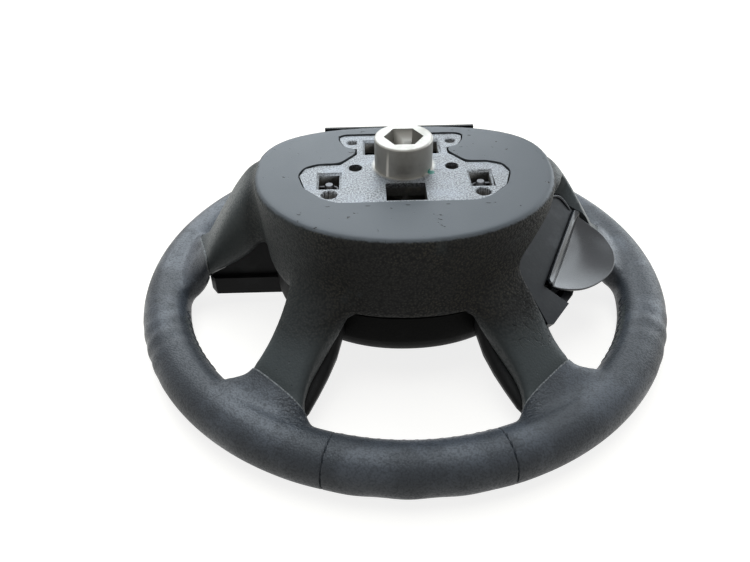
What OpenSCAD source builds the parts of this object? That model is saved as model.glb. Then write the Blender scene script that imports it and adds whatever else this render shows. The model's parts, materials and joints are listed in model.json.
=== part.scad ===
// Four-spoke steering wheel for a van or lorry, lying face down so that its column side shows.
// The axis of the wheel is Z, the rim's front face lies at z = 0 and 12 o'clock is at +Y.

/* [Rim] */
// Outer diameter of the rim over its leather
rim_od = 400; // [396:1:406]
// Width of the grip along the radius
grip_w = 35; // [34:0.5:36]
// Thickness of the grip along the axis
grip_h = 33; // [32:0.5:33.5]
// Thickness of the leather
leather_t = 1.4; // [1.2:0.1:1.6]
// Diameter of the steel core ring
core_d = 12; // [11:0.5:13]
// Half angle of the lower leather panel, from 6 o'clock
lower_seam = 17; // [15:1:19]
// Half angle of the upper leather panel, from 12 o'clock
upper_seam = 42; // [38:1:46]

/* [Hub moulding] */
// Height of the flat foam back above the rim's front
hub_back_z = 121; // [119:0.5:123]
// Height of the skirt's lower edge
skirt_z = 62; // [61.5:0.5:64]
// Half width of the hub
hub_half_w = 105; // [103:0.5:106]
// Reach of the hub towards 6 o'clock, from its widest line
hub_near = 92.6; // [91:0.2:94]
// Reach of the hub towards 12 o'clock, from its widest line
hub_far = 65; // [64:0.5:66]
// Distance of the hub's widest line below the wheel's axis
hub_low = 4; // [3:0.5:5]
// How far the skirt's sides lean in at its lower edge
side_lean = 7; // [6:0.5:8]
// Radius of the rounded edge round the flat back
edge_r = 4; // [3:0.5:6]
// Thickness of the skirt's foam
foam_wall = 12; // [11.5:0.25:12.5]
// Thickness of the foam over the casting's flange
foam_back_t = 7; // [6:0.5:7.5]

/* [Casting] */
// Thickness of the casting's flange
flange_t = 4; // [3.5:0.5:5]
// Depth of the bare plate under the foam's flat back
plate_drop = 1; // [0.6:0.2:1.6]
// Width of the dark groove round the bare plate
groove_w = 1.2; // [0.8:0.2:1.6]
// Height of the boss's end face above the rim's front
boss_top_z = 142; // [140:0.5:144]
// Outer diameter of the boss
boss_d = 40.6; // [39:0.2:42]
// Width across the flats of the hexagon socket at its mouth
hex_af = 23.9; // [23:0.1:24.5]
// Width across the flats at the socket's bottom
hex_af_low = 21.4; // [20.6:0.1:22]
// Depth of the hexagon socket
hex_depth = 15; // [13:0.5:17]
// Diameter of the bore for the column bolt
bolt_d = 16.5; // [16:0.1:17]
// Thickness of the four arms
arm_t = 8; // [7:0.5:8.5]
// Width of the lower arms
lower_arm_w = 22; // [20:1:24]
// Width of the side arms
side_arm_w = 28; // [24:1:30]

/* [Airbag module] */
// Free travel of the module when the horn is pressed
horn_travel = 3; // [2:0.25:3]
// Gap between the cover's wall and the skirt above it, at rest
cover_drop = 4; // [3.6:0.1:4.4]
// How far the cover's wall lies inside the hub's outline
cover_inset = 2; // [1.5:0.25:2.5]
// Wall of the moulded cover
cover_t = 3; // [2.5:0.25:3.5]
// Radius of the cover's rounded edge
cover_edge_r = 20; // [18:0.5:21]
// Shut line between the cover and the trims
shut_gap = 1.2; // [1:0.1:1.6]
// Diameter of the three guide pins
pin_d = 6; // [5:0.25:6.5]
// Running clearance of the pins, on the diameter
pin_fit = 0.6; // [0.5:0.1:0.8]
// Wire of the horn springs
coil_wire = 1.6; // [1.2:0.1:1.8]
// Wire of the retaining springs
wire_d = 2; // [1.8:0.1:2.2]
// Diameter of the gas generator
generator_d = 62; // [58:1:66]

/* [Spoke trims and switches] */
// Depth of the switch bezels behind their front face
bezel_t = 15; // [13:0.5:16]
// Height of the switch bezels' front face above the rim's front
bezel_z = 12; // [11:0.5:13]
// Gap round each key
key_gap = 0.5; // [0.4:0.1:0.7]
// How far the keys stand proud
key_proud = 2; // [1.6:0.2:2.4]
// Travel of a push key
key_travel = 1.2; // [0.8:0.1:1.3]

/* [Cable guard] */
// Width of the guard strip at 12 o'clock
guard_w = 115; // [110:1:118]
// Height of the guard strip along the axis
guard_h = 40; // [36:1:44]
// Thickness of the guard strip
guard_t = 3; // [2.5:0.25:3.5]

/* [Paddle] */
// Diameter of the paddle's hinge pin
hinge_d = 3; // [2.5:0.25:3.5]
// Outer diameter of the paddle's hinge barrel
barrel_d = 8; // [7.5:0.25:8.5]
// Thickness of the paddle's blade
blade_t = 3; // [2.5:0.25:3.5]

/* [Hidden] */
$fn = 48;
eps = 0.01;
fit = 0.3;

ring_r = rim_od/2 - grip_w/2;
ring_z = grip_h/2;
drop = hub_back_z - ring_z;
plate_z = hub_back_z - plate_drop;
flange_top = hub_back_z - foam_back_t;
flange_z = flange_top - flange_t;
cover_top = skirt_z - cover_drop;
carrier_z = skirt_z + 4;
carrier_t = 2;
bush_z = flange_z - 14;
pin_top = flange_z - 2;
slice_t = 0.05;
bead = 2;
bead_h = 1.5;
guard_y = hub_far - hub_low - 1.6;
guard_proud = -1;

// Outline of the hub: two half superellipses that meet on its widest line
near_power = 2.12;
far_power = 2.8;
function spow(v, p) = sign(v)*pow(abs(v), p);
function hub_outline(d, lean) = [for (a = [0:9:359])
    let (h = sin(a) >= 0 ? hub_far : hub_near, p = sin(a) >= 0 ? far_power : near_power)
    [(hub_half_w - lean + d)*spow(cos(a), 2/p), (h + d)*spow(sin(a), 2/p) - hub_low]];
module hub_slice(z, d, t = slice_t, lean = side_lean) {
    translate([0, 0, z]) linear_extrude(t) polygon(hub_outline(d, lean));
}

// Section of the grip, a circle drawn out along the radius
function grip_section(d) = [for (a = [0:11.25:359])
    let (r = grip_h/2 - d, s = (grip_w - grip_h)/2)
    [ring_r + r*cos(a) + (cos(a) > eps ? s : cos(a) < -eps ? -s : 0), ring_z + r*sin(a)]];
module grip_ring(d, a0 = 0, a1 = 360) {
    rotate([0, 0, a0 - 90]) rotate_extrude(angle = a1 - a0, $fn = 120) polygon(grip_section(d));
}
module core_ring(d) {
    rotate_extrude($fn = 120) translate([ring_r, ring_z]) circle(d = d, $fn = 32);
}

// Spokes: each runs in plan along one straight line, from inside the hub to the ring.
// A station is [share of the way, reach on its left, reach on its right, back, front]. Left and right
// are seen looking outwards with the boss up, and the heights are shares of the drop to the ring.
lower_foot = [57.7, -70.5];
lower_turn = 28.3;
lower_run = sqrt(pow(ring_r, 2) - pow(lower_foot[0]*cos(lower_turn) + lower_foot[1]*sin(lower_turn), 2))
    - (lower_foot[0]*sin(lower_turn) - lower_foot[1]*cos(lower_turn));
lower_stations = [
    [0, 22, 31, 0.72, 0.46], [0.09, 20, 27, 0.62, 0.37], [0.18, 19, 23.5, 0.53, 0.26],
    [0.30, 18.5, 20, 0.43, 0.16], [0.43, 18.5, 18.5, 0.345, 0.10], [0.55, 19.5, 18.5, 0.275, 0.065],
    [0.65, 22, 20, 0.22, 0.03]];
// The foam swells round the paddle's housing on the right, by this much on the spoke's left
bay_swell = [9, 8, 6.5, 3.5, 1, 0, 0];
swollen_stations = [for (i = [0:len(lower_stations) - 1]) lower_stations[i] + [0, bay_swell[i], 0, 0, 0]];
lower_root = [[0.65, 22, 20, 0.22, 0.03], [0.71, 27, 22, 0.19, -0.02], [0.77, 37, 27, 0.17, -0.07],
    [0.86, 52, 38, 0.14, -0.10]];
side_foot = [88, 12];
side_run = sqrt(pow(ring_r, 2) - pow(side_foot[1], 2)) - side_foot[0];
side_stations = [
    [0, 30, 29, 0.985, 0.45], [0.10, 31, 28, 0.975, 0.45], [0.19, 34, 27, 0.93, 0.40],
    [0.29, 35, 26.5, 0.85, 0.31], [0.40, 35, 25.5, 0.715, 0.235], [0.52, 34, 25, 0.55, 0.18],
    [0.63, 32, 24.5, 0.39, 0.14], [0.70, 31, 24.5, 0.29, 0.12]];
side_root = [[0.70, 31, 24.5, 0.29, 0.02], [0.75, 35, 26, 0.24, -0.04], [0.82, 42, 31, 0.185, -0.08],
    [0.88, 52, 42, 0.14, -0.10]];

function section(w, h, n = 3.2) = [for (a = [0:18:359])
    [w/2*spow(cos(a), 2/n), h/2*spow(sin(a), 2/n)]];
module spoke_slice(foot, turn, run, st, d) {
    zb = ring_z + st[3]*drop - d;
    zf = ring_z + st[4]*drop + d;
    along = st[0]*run;
    translate([foot[0] + along*sin(turn), foot[1] - along*cos(turn), (zb + zf)/2])
        rotate([90, 0, turn]) linear_extrude(slice_t, center = true)
            translate([(st[1] - st[2])/2, 0]) polygon(section(st[1] + st[2] - 2*d, zb - zf));
}
module spoke_chain(foot, turn, run, stations, d = 0) {
    for (i = [0:len(stations) - 2]) hull() {
        spoke_slice(foot, turn, run, stations[i], d);
        spoke_slice(foot, turn, run, stations[i + 1], d);
    }
}
module each_side() {
    children();
    mirror([1, 0, 0]) children();
}
module lower_chain(stations, d = 0) { spoke_chain(lower_foot, lower_turn, lower_run, stations, d); }
module side_chain(stations, d = 0) { spoke_chain(side_foot, 90, side_run, stations, d); }

// Side view of an arm: a polyline given a thickness
function unit(v) = v/norm(v);
function left_of(v) = [-v[1], v[0]];
function mitre(p, i) =
    i == 0 ? left_of(unit(p[1] - p[0])) :
    i == len(p) - 1 ? left_of(unit(p[i] - p[i - 1])) :
    let (a = left_of(unit(p[i] - p[i - 1])), b = left_of(unit(p[i + 1] - p[i]))) (a + b)/(1 + a*b);
function band(p, t) = concat(
    [for (i = [0:len(p) - 1]) p[i] + mitre(p, i)*t/2],
    [for (i = [len(p) - 1:-1:0]) p[i] - mitre(p, i)*t/2]);
arm_top = flange_top - arm_t/2;
lower_leg = 2.5;
lower_path = [[-24, arm_top], [lower_leg, arm_top], [lower_leg, skirt_z + 9], [15, skirt_z + 2.5],
    [0.4*lower_run, ring_z + 0.25*drop], [lower_run, ring_z]];
side_leg = 8.5;
side_path = [[-20, arm_top], [side_leg, arm_top], [side_leg, skirt_z + 24], [18, skirt_z + 18],
    [0.553*side_run, ring_z + 0.21*drop], [side_run, ring_z]];
module arm(foot, turn, path, w) {
    translate([foot[0], foot[1], 0]) rotate([0, 0, turn - 90])
        translate([0, w/2, 0]) rotate([90, 0, 0]) linear_extrude(w) polygon(band(path, arm_t));
}
module lower_arm() { arm(lower_foot, lower_turn, lower_path, lower_arm_w); }
module side_arm() { arm(side_foot, 90, side_path, side_arm_w); }
module arms() {
    each_side() {
        lower_arm();
        side_arm();
    }
}

// Bare part of the plate, seen through the opening in the foam
plate_half = [[0, 47.5], [42, 47.5], [47, 44], [46, 36], [41.5, 26.5], [34, 24], [34, 17], [45, 3], [60, 2.5],
    [70, -2], [74, -13], [69, -31], [57, -44.5], [46, -50.4], [0, -50.4]];
module plate_outline(d) {
    offset(r = 3 + d, $fn = 32) offset(delta = -3)
        polygon(concat(plate_half, [for (i = [len(plate_half) - 2:-1:1]) [-plate_half[i][0], plate_half[i][1]]]));
}
hole_d = 9;
small_hole_d = 7.4;
low_hole_d = 10.4;
hole_at = [34, -3];
small_hole_at = [36.5, 35.7];
low_hole_at = [51.4, -38.3];
window = [14, 19.5];
window_at = [52, -20.2];
top_window = [13, 20];
top_window_at = [20.5, 27.5];
low_window = [27, 22];
low_window_at = [0, -36.5];
window_slope = 1.6;
hole_edge = 0.5;
boss_edge_r = 1.5;
boss_foot = 12;

// Guide pins and hooks of the airbag module
guide_at = [[-62, 26], [62, 26], [0, -66]];
bush_d = 16;
coil_d = 11;
hook_d = 8;
hook_neck_d = 5;
wire_z = flange_z + 3;

// Trims
trim_end = side_foot[0] + 0.70*side_run - fit;
trim_near = -5.5;
trim_far = 29.5;
key_x = 105;
rocker_x = 127;
key_size = [13, 11];
rocker_size = [17, 27];
key_depth = 9;
trunnion_d = 2.4;

// Paddle: the face of its housing is a plane, and the blade starts on a ridge along it.
// In the frame of that face X runs down the ridge, Y outwards and Z away from the face.
ridge_top = [127, 3, 76];
ridge_low = [95, -64, 63];
ridge_dir = unit(ridge_low - ridge_top);
ridge_len = norm(ridge_low - ridge_top);
face_n = unit(cross(ridge_dir, [0.80, -0.30, -0.52]));
face_out = cross(face_n, ridge_dir);
housing_face = [[7, -21.5], [-2, -20], [-6, -14], [-5, -9], [-1, -1], [8, 14], [40, 24], [66, 25],
    [89, 19.5], [104, 16], [107, 12], [93, -7], [83, -23.5], [79, -25]];
housing_t = 20;
housing_floor = 3;
well_end = 80.5;
hinge_at = [6, -11];
lug_t = 6;
lug_at = [12, 63];
barrel_from = 28;
web_h = 8.2;
run_fit = 0.16;
blade_edge = [[0.5, 2.5], [2, 13], [5, 29], [15, 41], [29.5, 44], [46, 39], [62, 28.5], [73, 14.5], [78, 2]];
scoop = 6;
bay_flare = [-12, 14, 22];
// Sectors that hold one spoke each
gap_turn = 64;
gap_ray = rim_od*[sin(gap_turn), -cos(gap_turn)];
lower_sector = [[0, 0], [0, -rim_od], [rim_od, -rim_od], gap_ray];
side_sector = [[0, 0], gap_ray, [rim_od, rim_od], [0, rim_od]];
ridge_h = 3.5;
blade_rise = 0.097;

// Opening with sloping sides at the plate's face
function slope(w) = [[-w/2, 0], [w/2, 0], [w/2 + 2*window_slope, 2*window_slope], [-w/2 - 2*window_slope, 2*window_slope]];
module window_cut(at, size) {
    translate([at[0], at[1], flange_z + 5]) cube([size[0], size[1], 30], center = true);
    translate([at[0], at[1], plate_z - window_slope]) intersection() {
        rotate([90, 0, 0]) linear_extrude(size[1] + 4*window_slope, center = true) polygon(slope(size[0]));
        rotate([90, 0, 90]) linear_extrude(size[0] + 4*window_slope, center = true) polygon(slope(size[1]));
    }
}
module drilled_hole(at, d) {
    translate([at[0], at[1], flange_z - eps]) cylinder(d = d, h = 20);
    translate([at[0], at[1], plate_z - hole_edge]) cylinder(d1 = d, d2 = d + 4*hole_edge, h = 2*hole_edge);
}
module plate_holes() {
    each_side() {
        drilled_hole(hole_at, hole_d);
        drilled_hole(small_hole_at, small_hole_d);
        drilled_hole(low_hole_at, low_hole_d);
        window_cut(window_at, window);
        window_cut(top_window_at, top_window);
        wire_slot();
    }
    translate([low_window_at[0], low_window_at[1], flange_z + 5])
        cube([low_window[0], low_window[1], 30], center = true);
}
module wire_slot() {
    s = wire_d + 2*fit;
    for (y = [-1, 1])
        translate([window_at[0] + 3, window_at[1] + y*(hook_neck_d/2 + wire_d/2 + fit), wire_z])
            cube([window[0] + 4, s, s], center = true);
}
module hub_casting() {
    color("silver") difference() {
        union() {
            hub_slice(flange_z, -foam_wall, flange_t);
            translate([0, 0, flange_top - eps]) linear_extrude(plate_z - flange_top + eps)
                plate_outline(-groove_w);
            rotate_extrude() polygon(concat([[0, flange_z - boss_foot], [boss_d/2, flange_z - boss_foot]],
                [for (a = [0:22.5:90])
                    [boss_d/2 - boss_edge_r*(1 - cos(a)), boss_top_z - boss_edge_r*(1 - sin(a))]],
                [[0, boss_top_z]]));
            for (a = [30:60:359]) rotate([0, 0, a]) translate([0, -2, flange_z - 8]) cube([48, 4, 8 + eps]);
            for (p = guide_at) translate([p[0], p[1], bush_z]) cylinder(d = bush_d, h = flange_z - bush_z + eps);
        }
        arms();
        translate([0, 0, flange_z - boss_foot - 1]) cylinder(d = bolt_d, h = boss_top_z - flange_z + 20);
        translate([0, 0, boss_top_z - hex_depth])
            cylinder(r1 = hex_af_low/sqrt(3), r2 = hex_af/sqrt(3), h = hex_depth, $fn = 6);
        translate([0, 0, boss_top_z - eps]) cylinder(r = hex_af/sqrt(3), h = 1, $fn = 6);
        plate_holes();
        for (p = guide_at) translate([p[0], p[1], bush_z - eps])
            cylinder(d = pin_d + pin_fit, h = pin_top + horn_travel + 1 - bush_z);
    }
}

// Flat steel bars cast into the plate, which carry the core ring
module steel_arm(lower) {
    color("dimgray") difference() {
        if (lower) lower_arm(); else side_arm();
        core_ring(core_d);
    }
}
module arm_lower_right() { steel_arm(true); }
module arm_lower_left() { mirror([1, 0, 0]) steel_arm(true); }
module arm_side_right() { steel_arm(false); }
module arm_side_left() { mirror([1, 0, 0]) steel_arm(false); }
module rim_core() { color("dimgray") core_ring(core_d); }
module rim_foam() {
    color([0.15, 0.15, 0.14]) difference() {
        grip_ring(leather_t);
        core_ring(core_d);
        arms();
    }
}
module leather_panel(a0, a1) {
    color([0.09, 0.095, 0.105]) difference() {
        grip_ring(0, a0, a1);
        grip_ring(leather_t, a0 - 1, a1 + 1);
        arms();
    }
}
module leather_lower() { leather_panel(-lower_seam, lower_seam); }
module leather_right() { leather_panel(lower_seam, 180 - upper_seam); }
module leather_upper() { leather_panel(180 - upper_seam, 180 + upper_seam); }
module leather_left() { leather_panel(180 + upper_seam, 360 - lower_seam); }
module root_skin(lower) {
    color([0.09, 0.095, 0.105]) difference() {
        if (lower) lower_chain(lower_root); else side_chain(side_root);
        if (lower) lower_chain(lower_root, leather_t); else side_chain(side_root, leather_t);
        if (lower) spoke_slice(lower_foot, lower_turn, lower_run, lower_root[0], -1);
        else spoke_slice(side_foot, 90, side_run, side_root[0], -1);
        grip_ring(-0.15);
        arms();
    }
}
module root_lower_right() { root_skin(true); }
module root_lower_left() { mirror([1, 0, 0]) root_skin(true); }
module root_side_right() { root_skin(false); }
module root_side_left() { mirror([1, 0, 0]) root_skin(false); }

module hub_block() {
    hull() {
        hub_slice(skirt_z, 0.5);
        hub_slice(skirt_z + bead_h, bead);
        for (a = [0:22.5:90])
            hub_slice(hub_back_z - edge_r + edge_r*sin(a) - slice_t, -edge_r*(1 - cos(a)), lean = 0);
    }
}
module foam_form() {
    difference() {
        union() {
            hub_block();
            lower_chain(swollen_stations);
            mirror([1, 0, 0]) lower_chain(lower_stations);
            each_side() {
                lower_chain(lower_root, leather_t);
                side_chain(side_stations);
                side_chain(side_root, leather_t);
            }
        }
        hub_slice(skirt_z - 40, -foam_wall, flange_top - skirt_z + 40);
        hub_slice(-1, 1.5, skirt_z + 1);
        translate([0, 0, flange_z]) linear_extrude(40) plate_outline(0);
        guard_pocket();
        arms();
        grip_ring(-0.15);
        paddle_bay();
        each_side() trim_block(0, bezel_z, bezel_z + bezel_t);
    }
}

// The foam is one moulding, given here as its hub and its four spokes, which part between two spokes
module hub_zone() { hub_slice(0, bead + fit, hub_back_z + 1, lean = 0); }
module foam_hub() {
    color([0.2, 0.2, 0.19]) intersection() {
        foam_form();
        hub_zone();
    }
}
module spoke_foam(sector) {
    color([0.2, 0.2, 0.19]) intersection() {
        difference() {
            foam_form();
            hub_zone();
        }
        linear_extrude(hub_back_z + 1) polygon(sector);
    }
}
module foam_lower_right() { spoke_foam(lower_sector); }
module foam_lower_left() { spoke_foam([for (p = lower_sector) [-p[0], p[1]]]); }
module foam_side_right() { spoke_foam(side_sector); }
module foam_side_left() { spoke_foam([for (p = side_sector) [-p[0], p[1]]]); }

module guard_pocket() {
    translate([-guard_w/2 - fit, guard_y, hub_back_z + guard_proud - guard_h])
        cube([guard_w + 2*fit, 20, guard_h + 10]);
}
module cable_guard() {
    color([0.06, 0.06, 0.06]) translate([-guard_w/2, guard_y, hub_back_z + guard_proud - guard_h]) {
        cube([guard_w, guard_t, guard_h]);
        for (x = [14, guard_w/2 - 4, guard_w - 22]) translate([x, guard_t - eps, 0]) cube([8, 2.5, guard_h - 8]);
    }
}

// Front of the side spokes: a cover behind and a bezel with the keys in front
module trim_block(d, z0, z1) {
    translate([0, 0, z0]) linear_extrude(z1 - z0) polygon([
        [80, trim_near - d], [trim_end - 7, trim_near - d], [trim_end - 2, 2], [trim_end, 12], [trim_end - 2, 22],
        [trim_end - 7, trim_far + d], [80, trim_far + d]]);
}
module spoke_cover() {
    color([0.07, 0.07, 0.075]) difference() {
        translate([0, trim_far - 3, 0]) rotate([90, 0, 0]) linear_extrude(trim_far - trim_near - 7)
            polygon(concat([[80, skirt_z - 2], [80, bezel_z + bezel_t], [trim_end, bezel_z + bezel_t]],
                [for (i = [len(side_stations) - 1:-1:2]) let (f = side_stations[i])
                    [min(side_foot[0] + f[0]*side_run, trim_end), min(ring_z + (f[4] + 0.05)*drop, skirt_z - fit)]]));
        cover_form(shut_gap, skirt_z + 2);
        side_chain(side_stations);
        arms();
    }
}
module key_pockets() {
    g = key_gap;
    for (y = [3.5, 20.5]) translate([key_x, y, bezel_z + key_depth/2])
        cube([key_size[0] + 2*g, key_size[1] + 2*g, key_depth + 2*key_travel + 2], center = true);
    translate([rocker_x, 12, bezel_z + key_depth/2])
        cube([rocker_size[0] + 2*g, rocker_size[1] + 2*g, key_depth + 5], center = true);
    translate([rocker_x, 12, bezel_z + 5]) rotate([0, 90, 0])
        cylinder(d = trunnion_d + run_fit, h = rocker_size[0] + 5.6, center = true);
}
module switch_bezel() {
    color([0.08, 0.08, 0.085]) difference() {
        trim_block(0, bezel_z, bezel_z + bezel_t);
        cover_form(shut_gap, skirt_z + 2);
        key_pockets();
    }
}
module spoke_cover_right() { spoke_cover(); }
module spoke_cover_left() { mirror([1, 0, 0]) spoke_cover(); }
module switch_bezel_right() { switch_bezel(); }
module switch_bezel_left() { mirror([1, 0, 0]) switch_bezel(); }
module rocker() {
    color([0.05, 0.05, 0.05]) {
        translate([rocker_x, 12, bezel_z - key_proud + (key_depth + key_proud)/2])
            cube([rocker_size[0], rocker_size[1], key_depth + key_proud], center = true);
        translate([rocker_x, 12, bezel_z + 5]) rotate([0, 90, 0])
            cylinder(d = trunnion_d, h = rocker_size[0] + 5, center = true);
    }
}
module push_key(y) {
    color([0.05, 0.05, 0.05]) translate([key_x, y, bezel_z - key_proud + (key_depth + key_proud)/2])
        cube([key_size[0], key_size[1], key_depth + key_proud], center = true);
}
module rocker_right() { rocker(); }
module rocker_left() { mirror([1, 0, 0]) rocker(); }
module upper_key_right() { push_key(20.5); }
module upper_key_left() { mirror([1, 0, 0]) push_key(20.5); }
module lower_key_right() { push_key(3.5); }
module lower_key_left() { mirror([1, 0, 0]) push_key(3.5); }

// Front trims of the lower spokes
trim_stations = [[0.10, 22, 21, 0.42, 0.16], [0.24, 20, 22, 0.26, 0.06], [0.38, 20, 22, 0.16, 0.0],
    [0.52, 20, 22.5, 0.11, -0.03], [0.66, 19, 22.5, 0.06, -0.06], [0.74, 18, 21, 0.02, -0.07]];
module lower_trim(stations) {
    color([0.07, 0.07, 0.075]) difference() {
        lower_chain(trim_stations);
        lower_chain(stations);
        lower_chain(lower_root);
        cover_form(shut_gap, skirt_z + 2);
        grip_ring(-fit);
        children();
    }
}
module lower_trim_right() {
    lower_trim(swollen_stations) face_frame() translate([0, 0, -housing_t - fit]) linear_extrude(housing_t)
        offset(delta = fit) polygon(housing_face);
}
module lower_trim_left() { mirror([1, 0, 0]) lower_trim(lower_stations); }

// Airbag module
dome_rise = 11;
dome = [[12, 0.55], [24, 0.86], [34, 1]];
cover_wall_h = 18;
lip_in = foam_wall + 2;
module cover_form(d, top) {
    z1 = cover_top - cover_wall_h;
    hull() {
        hub_slice(top, -cover_inset + d);
        for (a = [0:22.5:90])
            hub_slice(z1 - (cover_edge_r + d)*sin(a), -cover_inset + d - (cover_edge_r + d)*(1 - cos(a)));
        for (p = dome) hub_slice(z1 - cover_edge_r - d - p[1]*dome_rise, -cover_inset - cover_edge_r - p[0]);
    }
}
module airbag_cover() {
    color([0.06, 0.06, 0.065]) difference() {
        cover_form(0, cover_top - slice_t);
        cover_form(-cover_t, cover_top + 1);
    }
}
module cover_frame() {
    color("dimgray") difference() {
        union() {
            hub_slice(cover_top - 2*cover_t, -cover_inset - cover_t, 2*cover_t);
            hub_slice(cover_top - eps, -lip_in, carrier_z - cover_top + eps);
        }
        hub_slice(cover_top - 2*cover_t - 1, -lip_in - cover_t, 40);
    }
}
module airbag_pack() {
    color("gainsboro") hull() {
        hub_slice(carrier_z - slice_t, -foam_wall - 8);
        hub_slice(cover_top - 22, -foam_wall - 10);
        hub_slice(cover_top - 30, -foam_wall - 22);
    }
}
module module_carrier() {
    color("darkgray") difference() {
        hub_slice(carrier_z, -foam_wall - 1.5, carrier_t);
        for (p = guide_at) translate([p[0], p[1], carrier_z - 1]) cylinder(d = pin_d, h = 4);
        each_side() translate([window_at[0], window_at[1], carrier_z - 1]) cylinder(d = hook_d, h = 4);
    }
}
module gas_generator() {
    color("lightgray") translate([0, 0, carrier_z + carrier_t]) {
        cylinder(d = generator_d, h = 12);
        translate([0, 0, 12 - eps]) cylinder(d = generator_d - 14, h = 8);
        difference() {
            cylinder(d = generator_d + 18, h = 2);
            for (a = [45:90:359]) rotate([0, 0, a]) translate([generator_d/2 + 5, 0, -1]) cylinder(d = 5, h = 4);
        }
    }
}
module guide_pin(i) {
    color("silver") translate([guide_at[i][0], guide_at[i][1], carrier_z])
        cylinder(d = pin_d, h = pin_top - carrier_z);
}
module guide_pin_left() { guide_pin(0); }
module guide_pin_right() { guide_pin(1); }
module guide_pin_lower() { guide_pin(2); }
module hook_right() {
    neck_low = wire_z - wire_d/2 - horn_travel - fit;
    neck_top = wire_z + wire_d/2 + fit;
    color("silver") translate([window_at[0], window_at[1], 0]) {
        translate([0, 0, carrier_z]) cylinder(d = hook_d, h = neck_low - carrier_z);
        translate([0, 0, neck_low - eps]) cylinder(d = hook_neck_d, h = neck_top - neck_low + 2*eps);
        translate([0, 0, neck_top]) cylinder(d1 = hook_d, d2 = hook_neck_d, h = 3);
    }
}
module hook_left() { mirror([1, 0, 0]) hook_right(); }
module retaining_wire_right() {
    r = hook_neck_d/2 + wire_d/2 + fit;
    color([0.1, 0.1, 0.1]) translate([window_at[0], window_at[1], wire_z]) {
        for (y = [-r, r]) translate([-2, y, 0]) rotate([0, 90, 0]) cylinder(d = wire_d, h = 13.5, $fn = 24);
        translate([-2 + eps, 0, 0]) rotate([0, 0, 90]) rotate_extrude(angle = 180, $fn = 48)
            translate([r, 0]) circle(d = wire_d, $fn = 24);
    }
}
module retaining_wire_left() { mirror([1, 0, 0]) retaining_wire_right(); }

// Helical spring as one swept skin, ground flat where it seats
module coil(mean_d, wire, length, turns) {
    per = 8;
    sides = 5;
    n = turns*per;
    rise = (length - wire)/n;
    pts = [for (i = [0:n], k = [0:sides - 1])
        let (a = i*360/per, b = k*360/sides, r = mean_d/2 + wire/2*cos(b))
        [r*cos(a), r*sin(a), wire/2 + i*rise + wire/2*sin(b)]];
    wall = [for (i = [0:n - 1], k = [0:sides - 1])
        let (a = i*sides + k, b = i*sides + (k + 1)%sides) each [[a, b, b + sides], [a, b + sides, a + sides]]];
    polyhedron(pts, concat([[for (k = [sides - 1:-1:0]) k]], wall, [[for (k = [0:sides - 1]) n*sides + k]]));
}
module horn_spring(i) {
    color("dimgray") translate([guide_at[i][0], guide_at[i][1], carrier_z + carrier_t])
        coil(coil_d, coil_wire, bush_z - carrier_z - carrier_t, 4);
}
module horn_spring_left() { horn_spring(0); }
module horn_spring_right() { horn_spring(1); }
module horn_spring_lower() { horn_spring(2); }

// Paddle and its housing
module face_frame() {
    multmatrix([[ridge_dir[0], face_out[0], face_n[0], ridge_top[0]],
        [ridge_dir[1], face_out[1], face_n[1], ridge_top[1]],
        [ridge_dir[2], face_out[2], face_n[2], ridge_top[2]],
        [0, 0, 0, 1]]) children();
}
module paddle_bay() {
    face_frame() {
        translate([0, 0, -housing_t]) linear_extrude(housing_t + 40) {
            offset(delta = fit) polygon(housing_face);
            offset(delta = 2.5) polygon(concat([[0, 0]], smooth(blade_edge, 2)));
        }
        hull() for (s = [0, 1]) translate(s*bay_flare) linear_extrude(slice_t) polygon(housing_face);
    }
}
module hinge_rod(d, from, to) {
    translate([from, hinge_at[0], hinge_at[1]]) rotate([0, 90, 0]) cylinder(d = d, h = to - from);
}
module paddle_housing() {
    color([0.1, 0.11, 0.12]) difference() {
        face_frame() difference() {
            translate([0, 0, -housing_t]) linear_extrude(housing_t) polygon(housing_face);
            difference() {
                translate([-20, 0, -housing_t + housing_floor]) cube([20 + well_end, 60, 40]);
                for (x = lug_at) translate([x, 1.5, -housing_t])
                    cube([lug_t, 9, housing_t + hinge_at[1] + hinge_d/2 + 1.5]);
            }
            hinge_rod(hinge_d, lug_at[0] - 1, lug_at[1] + lug_t + 1);
        }
        arms();
        hub_slice(20, 0, skirt_z - 20);
        hub_slice(skirt_z - eps, -foam_wall, flange_z - skirt_z);
    }
}
module paddle_pin() {
    color("silver") face_frame() hinge_rod(hinge_d, lug_at[0], lug_at[1] + lug_t);
}
module paddle_spring() {
    color("dimgray") face_frame() translate([lug_at[0] + lug_t, hinge_at[0], hinge_at[1]]) rotate([0, 90, 0])
        coil(hinge_d + 2.6, 1, barrel_from - lug_at[0] - lug_t, 5);
}
// Smooth curve through a list of points, sampled n times a span
function smooth(p, n) = [for (i = [0:len(p) - 2], k = [0:n - 1])
    let (t = k/n, a = p[max(i - 1, 0)], b = p[i], c = p[i + 1], e = p[min(i + 2, len(p) - 1)])
    b + t*(c - a)/2 + t*t*(a - 2.5*b + 2*c - e/2) + t*t*t*(1.5*(b - c) + (e - a)/2), p[len(p) - 1]];
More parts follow.
